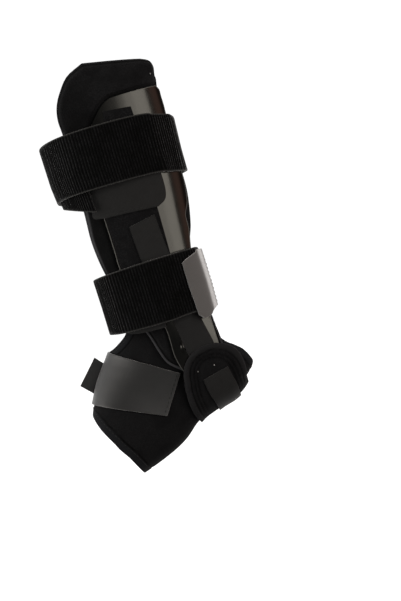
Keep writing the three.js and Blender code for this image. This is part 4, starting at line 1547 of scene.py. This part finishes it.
class BRACE_OT_straps(bpy.types.Operator):
    """Make the two ribbed leg straps, their grey ends and the base of the lower one"""

    bl_idname = "brace.straps"
    bl_label = "Leg straps"

    def ribbed(self, name, course, grid, look):
        """A strap with ribs across it between its flat edges."""
        surface, layer, rim = strap_course(course)
        pitch = look.rib_pitch / MM
        rise = look.rib_height / MM

        def outside(at):
            edge = ease(at.rim, *RIB_START)
            ribs = np.cos(2 * np.pi * at.along / pitch)
            return layer(at) + STRAP_WALL + edge * (rise * ribs - 0.5 * rise)

        return wall(name, surface, grid, layer, outside, rim=rim)

    def tape(self, name, course, joined):
        """A flat end of a strap, which thickens where it is joined to the strap."""
        surface, layer, rim = strap_course(course)

        def outside(at):
            from_end = at.along.max() - at.along
            sewn = ease(from_end, *END_JOINT) if joined else 0
            return layer(at) + mix(FABRIC_WALL, STRAP_WALL, sewn)

        return wall(name, surface, "strap_end", layer, outside, rim=rim)

    def execute(self, context):
        look = context.scene.brace_look
        for piece, material, slot, node, bed in (
            (
                self.ribbed("upper_leg_strap", UPPER_STRAP_COURSE, "upper_strap", look),
                "ribbed_loop_pile", "strap_loop", "upper_strap", "upper_strap_base",
            ),
            (
                self.ribbed("lower_leg_strap", LOWER_STRAP_COURSE, "lower_strap", look),
                "ribbed_loop_pile", "strap_loop", "lower_strap", "lower_strap_base",
            ),
            (
                self.tape("upper_strap_end", UPPER_TAB_COURSE, joined=True),
                "pale_polyester_tape", "hook_tape", "upper_strap_tab", "upper_leg_strap",
            ),
            (
                self.tape("lower_strap_end", LOWER_TAB_COURSE, joined=True),
                "pale_polyester_tape", "hook_tape", "lower_strap_tab", "lower_leg_strap",
            ),
            (
                self.tape("lower_strap_base", LOWER_ANCHOR_COURSE, joined=False),
                "dark_hook_tape", "hook_tape", "lower_strap_anchor", "medial_velvet_patch",
            ),
        ):
            dress(piece, finish(material), slot, node)
            declare_sheet(piece, bed)
        return {"FINISHED"}


# Tacks: their size, half the reach of a tack's path in lengths of it, where a line of sight starts,
# and their places as they are seen from the medial side.
TACK_LENGTH = 1.4
TACK_WIDTH = 1.1
TACK_REACH = 0.8
SIGHT_FROM = -200
POCKET_TACKS = ((30.4, -27.9), (14.9, -29.3))
PAD_TACKS = ((51.4, 234.3),)


class BRACE_OT_stitches(bpy.types.Operator):
    """Sew the hems, the ends of the tapes and the joints of the straps, and add the pale tacks"""

    bl_idname = "brace.stitches"
    bl_label = "Stitches"

    def tack(self, piece, x, z, length):
        """A short upright path where a line of sight to the medial side meets a piece."""
        sight = Vector((x, SIGHT_FROM, z)) * MM
        hit, spot, _normal, _face = piece.ray_cast(sight, Vector((0, 1, 0)))
        if not hit:
            raise RuntimeError(f"no place for a tack on {piece.name}")
        return piece, np.array(spot) / MM + np.array([(0, 0, -TACK_REACH), (0, 0, TACK_REACH)]) * length

    def execute(self, context):
        look = context.scene.brace_look
        stitch = look.stitch / MM
        inset = look.hem / MM - HEM_SEAM
        piece = bpy.data.objects
        hems = [(piece["foot_sleeve"], inset_path(sleeve_surface, edge, inset, 1)) for edge in (0, 1)]
        sew("sleeve_stitching", hems, stitch, THREAD, "polyester_thread", "sleeve_cloth")

        rows = []
        for name, surface, crosswise in (
            ("heel_tape", heel_strap_surface, False),
            ("instep_tape", instep_strap_surface, True),
        ):
            for edge in (0, 1):
                path = inset_path(surface, edge, TAPE_SEAM, CLEAR_OF_LAYERS, crosswise)
                rows.append((piece[name], path))
        for name, course in (("upper_strap_end", UPPER_TAB_COURSE), ("lower_strap_end", LOWER_TAB_COURSE)):
            surface, _layer, _rim = strap_course(course)
            for distance in (TAPE_SEAM, SECOND_SEAM):
                rows.append((piece[name], inset_path(surface, 1, distance, CLEAR_OF_LAYERS, True)))
        base = panel(UPPER_ANCHOR_OUTLINE, lambda z: patch_outer(z) + FABRIC_WALL)
        rows.append((piece["upper_strap_base"], inset_path(base, 0, TAPE_SEAM, CLEAR_OF_LAYERS)))
        sew("tape_stitching", rows, stitch, THREAD, "polyester_thread", "hook_tape")

        tacks = [self.tack(piece["heel_sling"], x, z, TACK_LENGTH) for x, z in POCKET_TACKS]
        tacks += [self.tack(piece["medial_foam_pad"], x, z, TACK_LENGTH) for x, z in PAD_TACKS]
        sew("lining_tacks", tacks, TACK_LENGTH, TACK_WIDTH, "pale_tack_thread", "sleeve_cloth")
        return {"FINISHED"}


# Light panels: azimuth, elevation, distance, width and height in metres, and their share of a light.
PANELS = (
    ("heel_side_panel", 44.5, 5, 1.7, 0.72, 1.6, 1.08, "key"),
    ("heel_side_wing", 25.5, 5, 1.7, 0.42, 1.6, 0.86, "key"),
    ("heel_side_fade", 14.5, 5, 1.7, 0.24, 1.6, 0.42, "key"),
    ("heel_side_edge", 6, 5, 1.7, 0.27, 1.6, 0.08, "key"),
    ("toe_side_panel", -72, 12, 1.7, 1.6, 1.5, 1, "fill"),
    ("overhead_panel", 0, 80, 1.6, 1.4, 0.8, 1, "top"),
)
LIGHT_AIM = (0, 0, 0.08)
LIGHT_COLOUR = "#fffaf4"
# Shades of the surround by its turn: white behind the brace, dim before it.
SURROUND = (
    (0.0, "#f0f0f0"),
    (0.06, "#606060"),
    (0.22, "#505050"),
    (0.3, "#787878"),
    (0.42, "#787470"),
    (0.45, "#d0a698"),
    (0.48, "#d0a698"),
    (0.495, "#40302c"),
    (0.52, "#40302c"),
    (0.57, "#f0f0f0"),
)
SKY_STRENGTH = 1.05
# Floor and camera, in metres but for the picture's height in pixels and the sensor in millimetres.
FLOOR_SIZE = 30
FLOOR_CELLS = 20
FLOOR_DROP = 0.12
PICTURE_HEIGHT = 601
SENSOR = 36
CLIP_END = 100


class BRACE_OT_stage(bpy.types.Operator):
    """Make the floor, the light panels and the camera"""

    bl_idname = "brace.stage"
    bl_label = "Stage"

    def panel_light(self, name, azimuth, elevation, distance, width, height, brightness):
        """A soft panel that faces the brace from a direction given by its azimuth and elevation."""
        turn, rise = math.radians(azimuth), math.radians(elevation)
        flat = math.cos(rise)
        out = Vector((math.sin(turn) * flat, -math.cos(turn) * flat, math.sin(rise)))
        bpy.ops.object.light_add(type="AREA", location=Vector(LIGHT_AIM) + out * distance)
        lamp = bpy.context.object
        lamp.name = name
        lamp.rotation_euler = out.to_track_quat("Z", "Y").to_euler()
        lamp.data.shape = "RECTANGLE"
        lamp.data.size = width
        lamp.data.size_y = height
        lamp.data.energy = math.pi * width * height * brightness
        lamp.data.color = linear(LIGHT_COLOUR)[:3]
        lamp.visible_camera = False

    def execute(self, context):
        studio = context.scene.brace_studio
        low, _high = CAD_BOX
        bpy.ops.object.select_all(action="DESELECT")
        bpy.ops.mesh.primitive_grid_add(
            x_subdivisions=FLOOR_CELLS,
            y_subdivisions=FLOOR_CELLS,
            size=FLOOR_SIZE,
            location=(0, 0, low.z - FLOOR_DROP),
        )
        floor = bpy.context.object
        floor.name = "studio_floor"
        floor.data.materials.append(finish("matt_white_paint"))
        floor.visible_glossy = floor.visible_diffuse = False

        for *place, share, light in PANELS:
            self.panel_light(*place, share * getattr(studio, light))

        world = bpy.data.worlds.new("studio_surround")
        world.use_nodes = True
        world.node_tree.nodes.clear()
        node = partial(add_node, world.node_tree)
        place = node("TexCoord", output="Generated")
        around = node("TexGradient", {0: place}, "Fac", gradient_type="RADIAL")
        shades = node("ValToRGB", {"Fac": around})
        self.paint_surround(shades.node.color_ramp)
        room = node("Background", {"Color": shades, "Strength": 1.0})
        white = node("Background", {"Color": linear("#ffffff"), "Strength": SKY_STRENGTH})
        both = node("MixShader", {0: node("LightPath", output="Is Camera Ray"), 1: room, 2: white})
        node("OutputWorld", {"Surface": both})
        context.scene.world = world
        context.scene.view_settings.view_transform = "Standard"

        camera = bpy.data.objects.new("camera", bpy.data.cameras.new("camera"))
        context.scene.collection.objects.link(camera)
        context.scene.camera = camera
        tall = PICTURE_HEIGHT * studio.pixel
        camera.data.sensor_width = SENSOR
        camera.data.lens = SENSOR * studio.distance / tall
        camera.data.clip_end = CLIP_END
        lean = studio.lean
        right = Vector((math.cos(lean), 0, -math.sin(lean)))
        up = Vector((math.sin(lean), 0, math.cos(lean)))
        turn = Matrix((right, up, Vector((0, -1, 0)))).transposed()
        eye = Vector((studio.centre_x, -studio.near_side - studio.distance, studio.centre_z))
        camera.matrix_world = Matrix.Translation(eye) @ turn.to_4x4()
        return {"FINISHED"}

    def paint_surround(self, ramp):
        """Sets the shades of the surround."""
        while len(ramp.elements) < len(SURROUND):
            ramp.elements.new(1.0)
        for element, (position, shade) in zip(ramp.elements, SURROUND):
            element.position = position
            element.color = linear(shade)


class BRACE_PT_panel(bpy.types.Panel):
    """Lists the steps that make the brace"""

    bl_label = "Ankle brace"
    bl_space_type = "VIEW_3D"
    bl_region_type = "UI"
    bl_category = "Brace"

    def draw(self, context):
        for step in STEPS:
            self.layout.operator(step.bl_idname)
        for group in (context.scene.brace_look, context.scene.brace_studio):
            for name in group.__annotations__:
                self.layout.prop(group, name)


STEPS = (
    BRACE_OT_materials,
    BRACE_OT_pads,
    BRACE_OT_shells,
    BRACE_OT_patches,
    BRACE_OT_sleeve,
    BRACE_OT_stirrup,
    BRACE_OT_instep,
    BRACE_OT_straps,
    BRACE_OT_stitches,
    BRACE_OT_stage,
)
CLASSES = (BraceLook, BraceStudio, *STEPS, BRACE_PT_panel)


def register():
    for cls in CLASSES:
        bpy.utils.register_class(cls)
    bpy.types.Scene.brace_look = bpy.props.PointerProperty(type=BraceLook)
    bpy.types.Scene.brace_studio = bpy.props.PointerProperty(type=BraceStudio)


def unregister():
    del bpy.types.Scene.brace_studio
    del bpy.types.Scene.brace_look
    for cls in reversed(CLASSES):
        bpy.utils.unregister_class(cls)


def main():
    register()
    bpy.ops.object.select_all(action="DESELECT")
    bpy.ops.brace.materials()
    bpy.ops.brace.pads()
    bpy.ops.brace.shells()
    bpy.ops.brace.patches()
    bpy.ops.brace.sleeve()
    bpy.ops.brace.stirrup()
    bpy.ops.brace.instep()
    bpy.ops.brace.straps()
    bpy.ops.brace.stitches()
    bpy.ops.brace.stage()


if __name__ == "__main__":
    main()
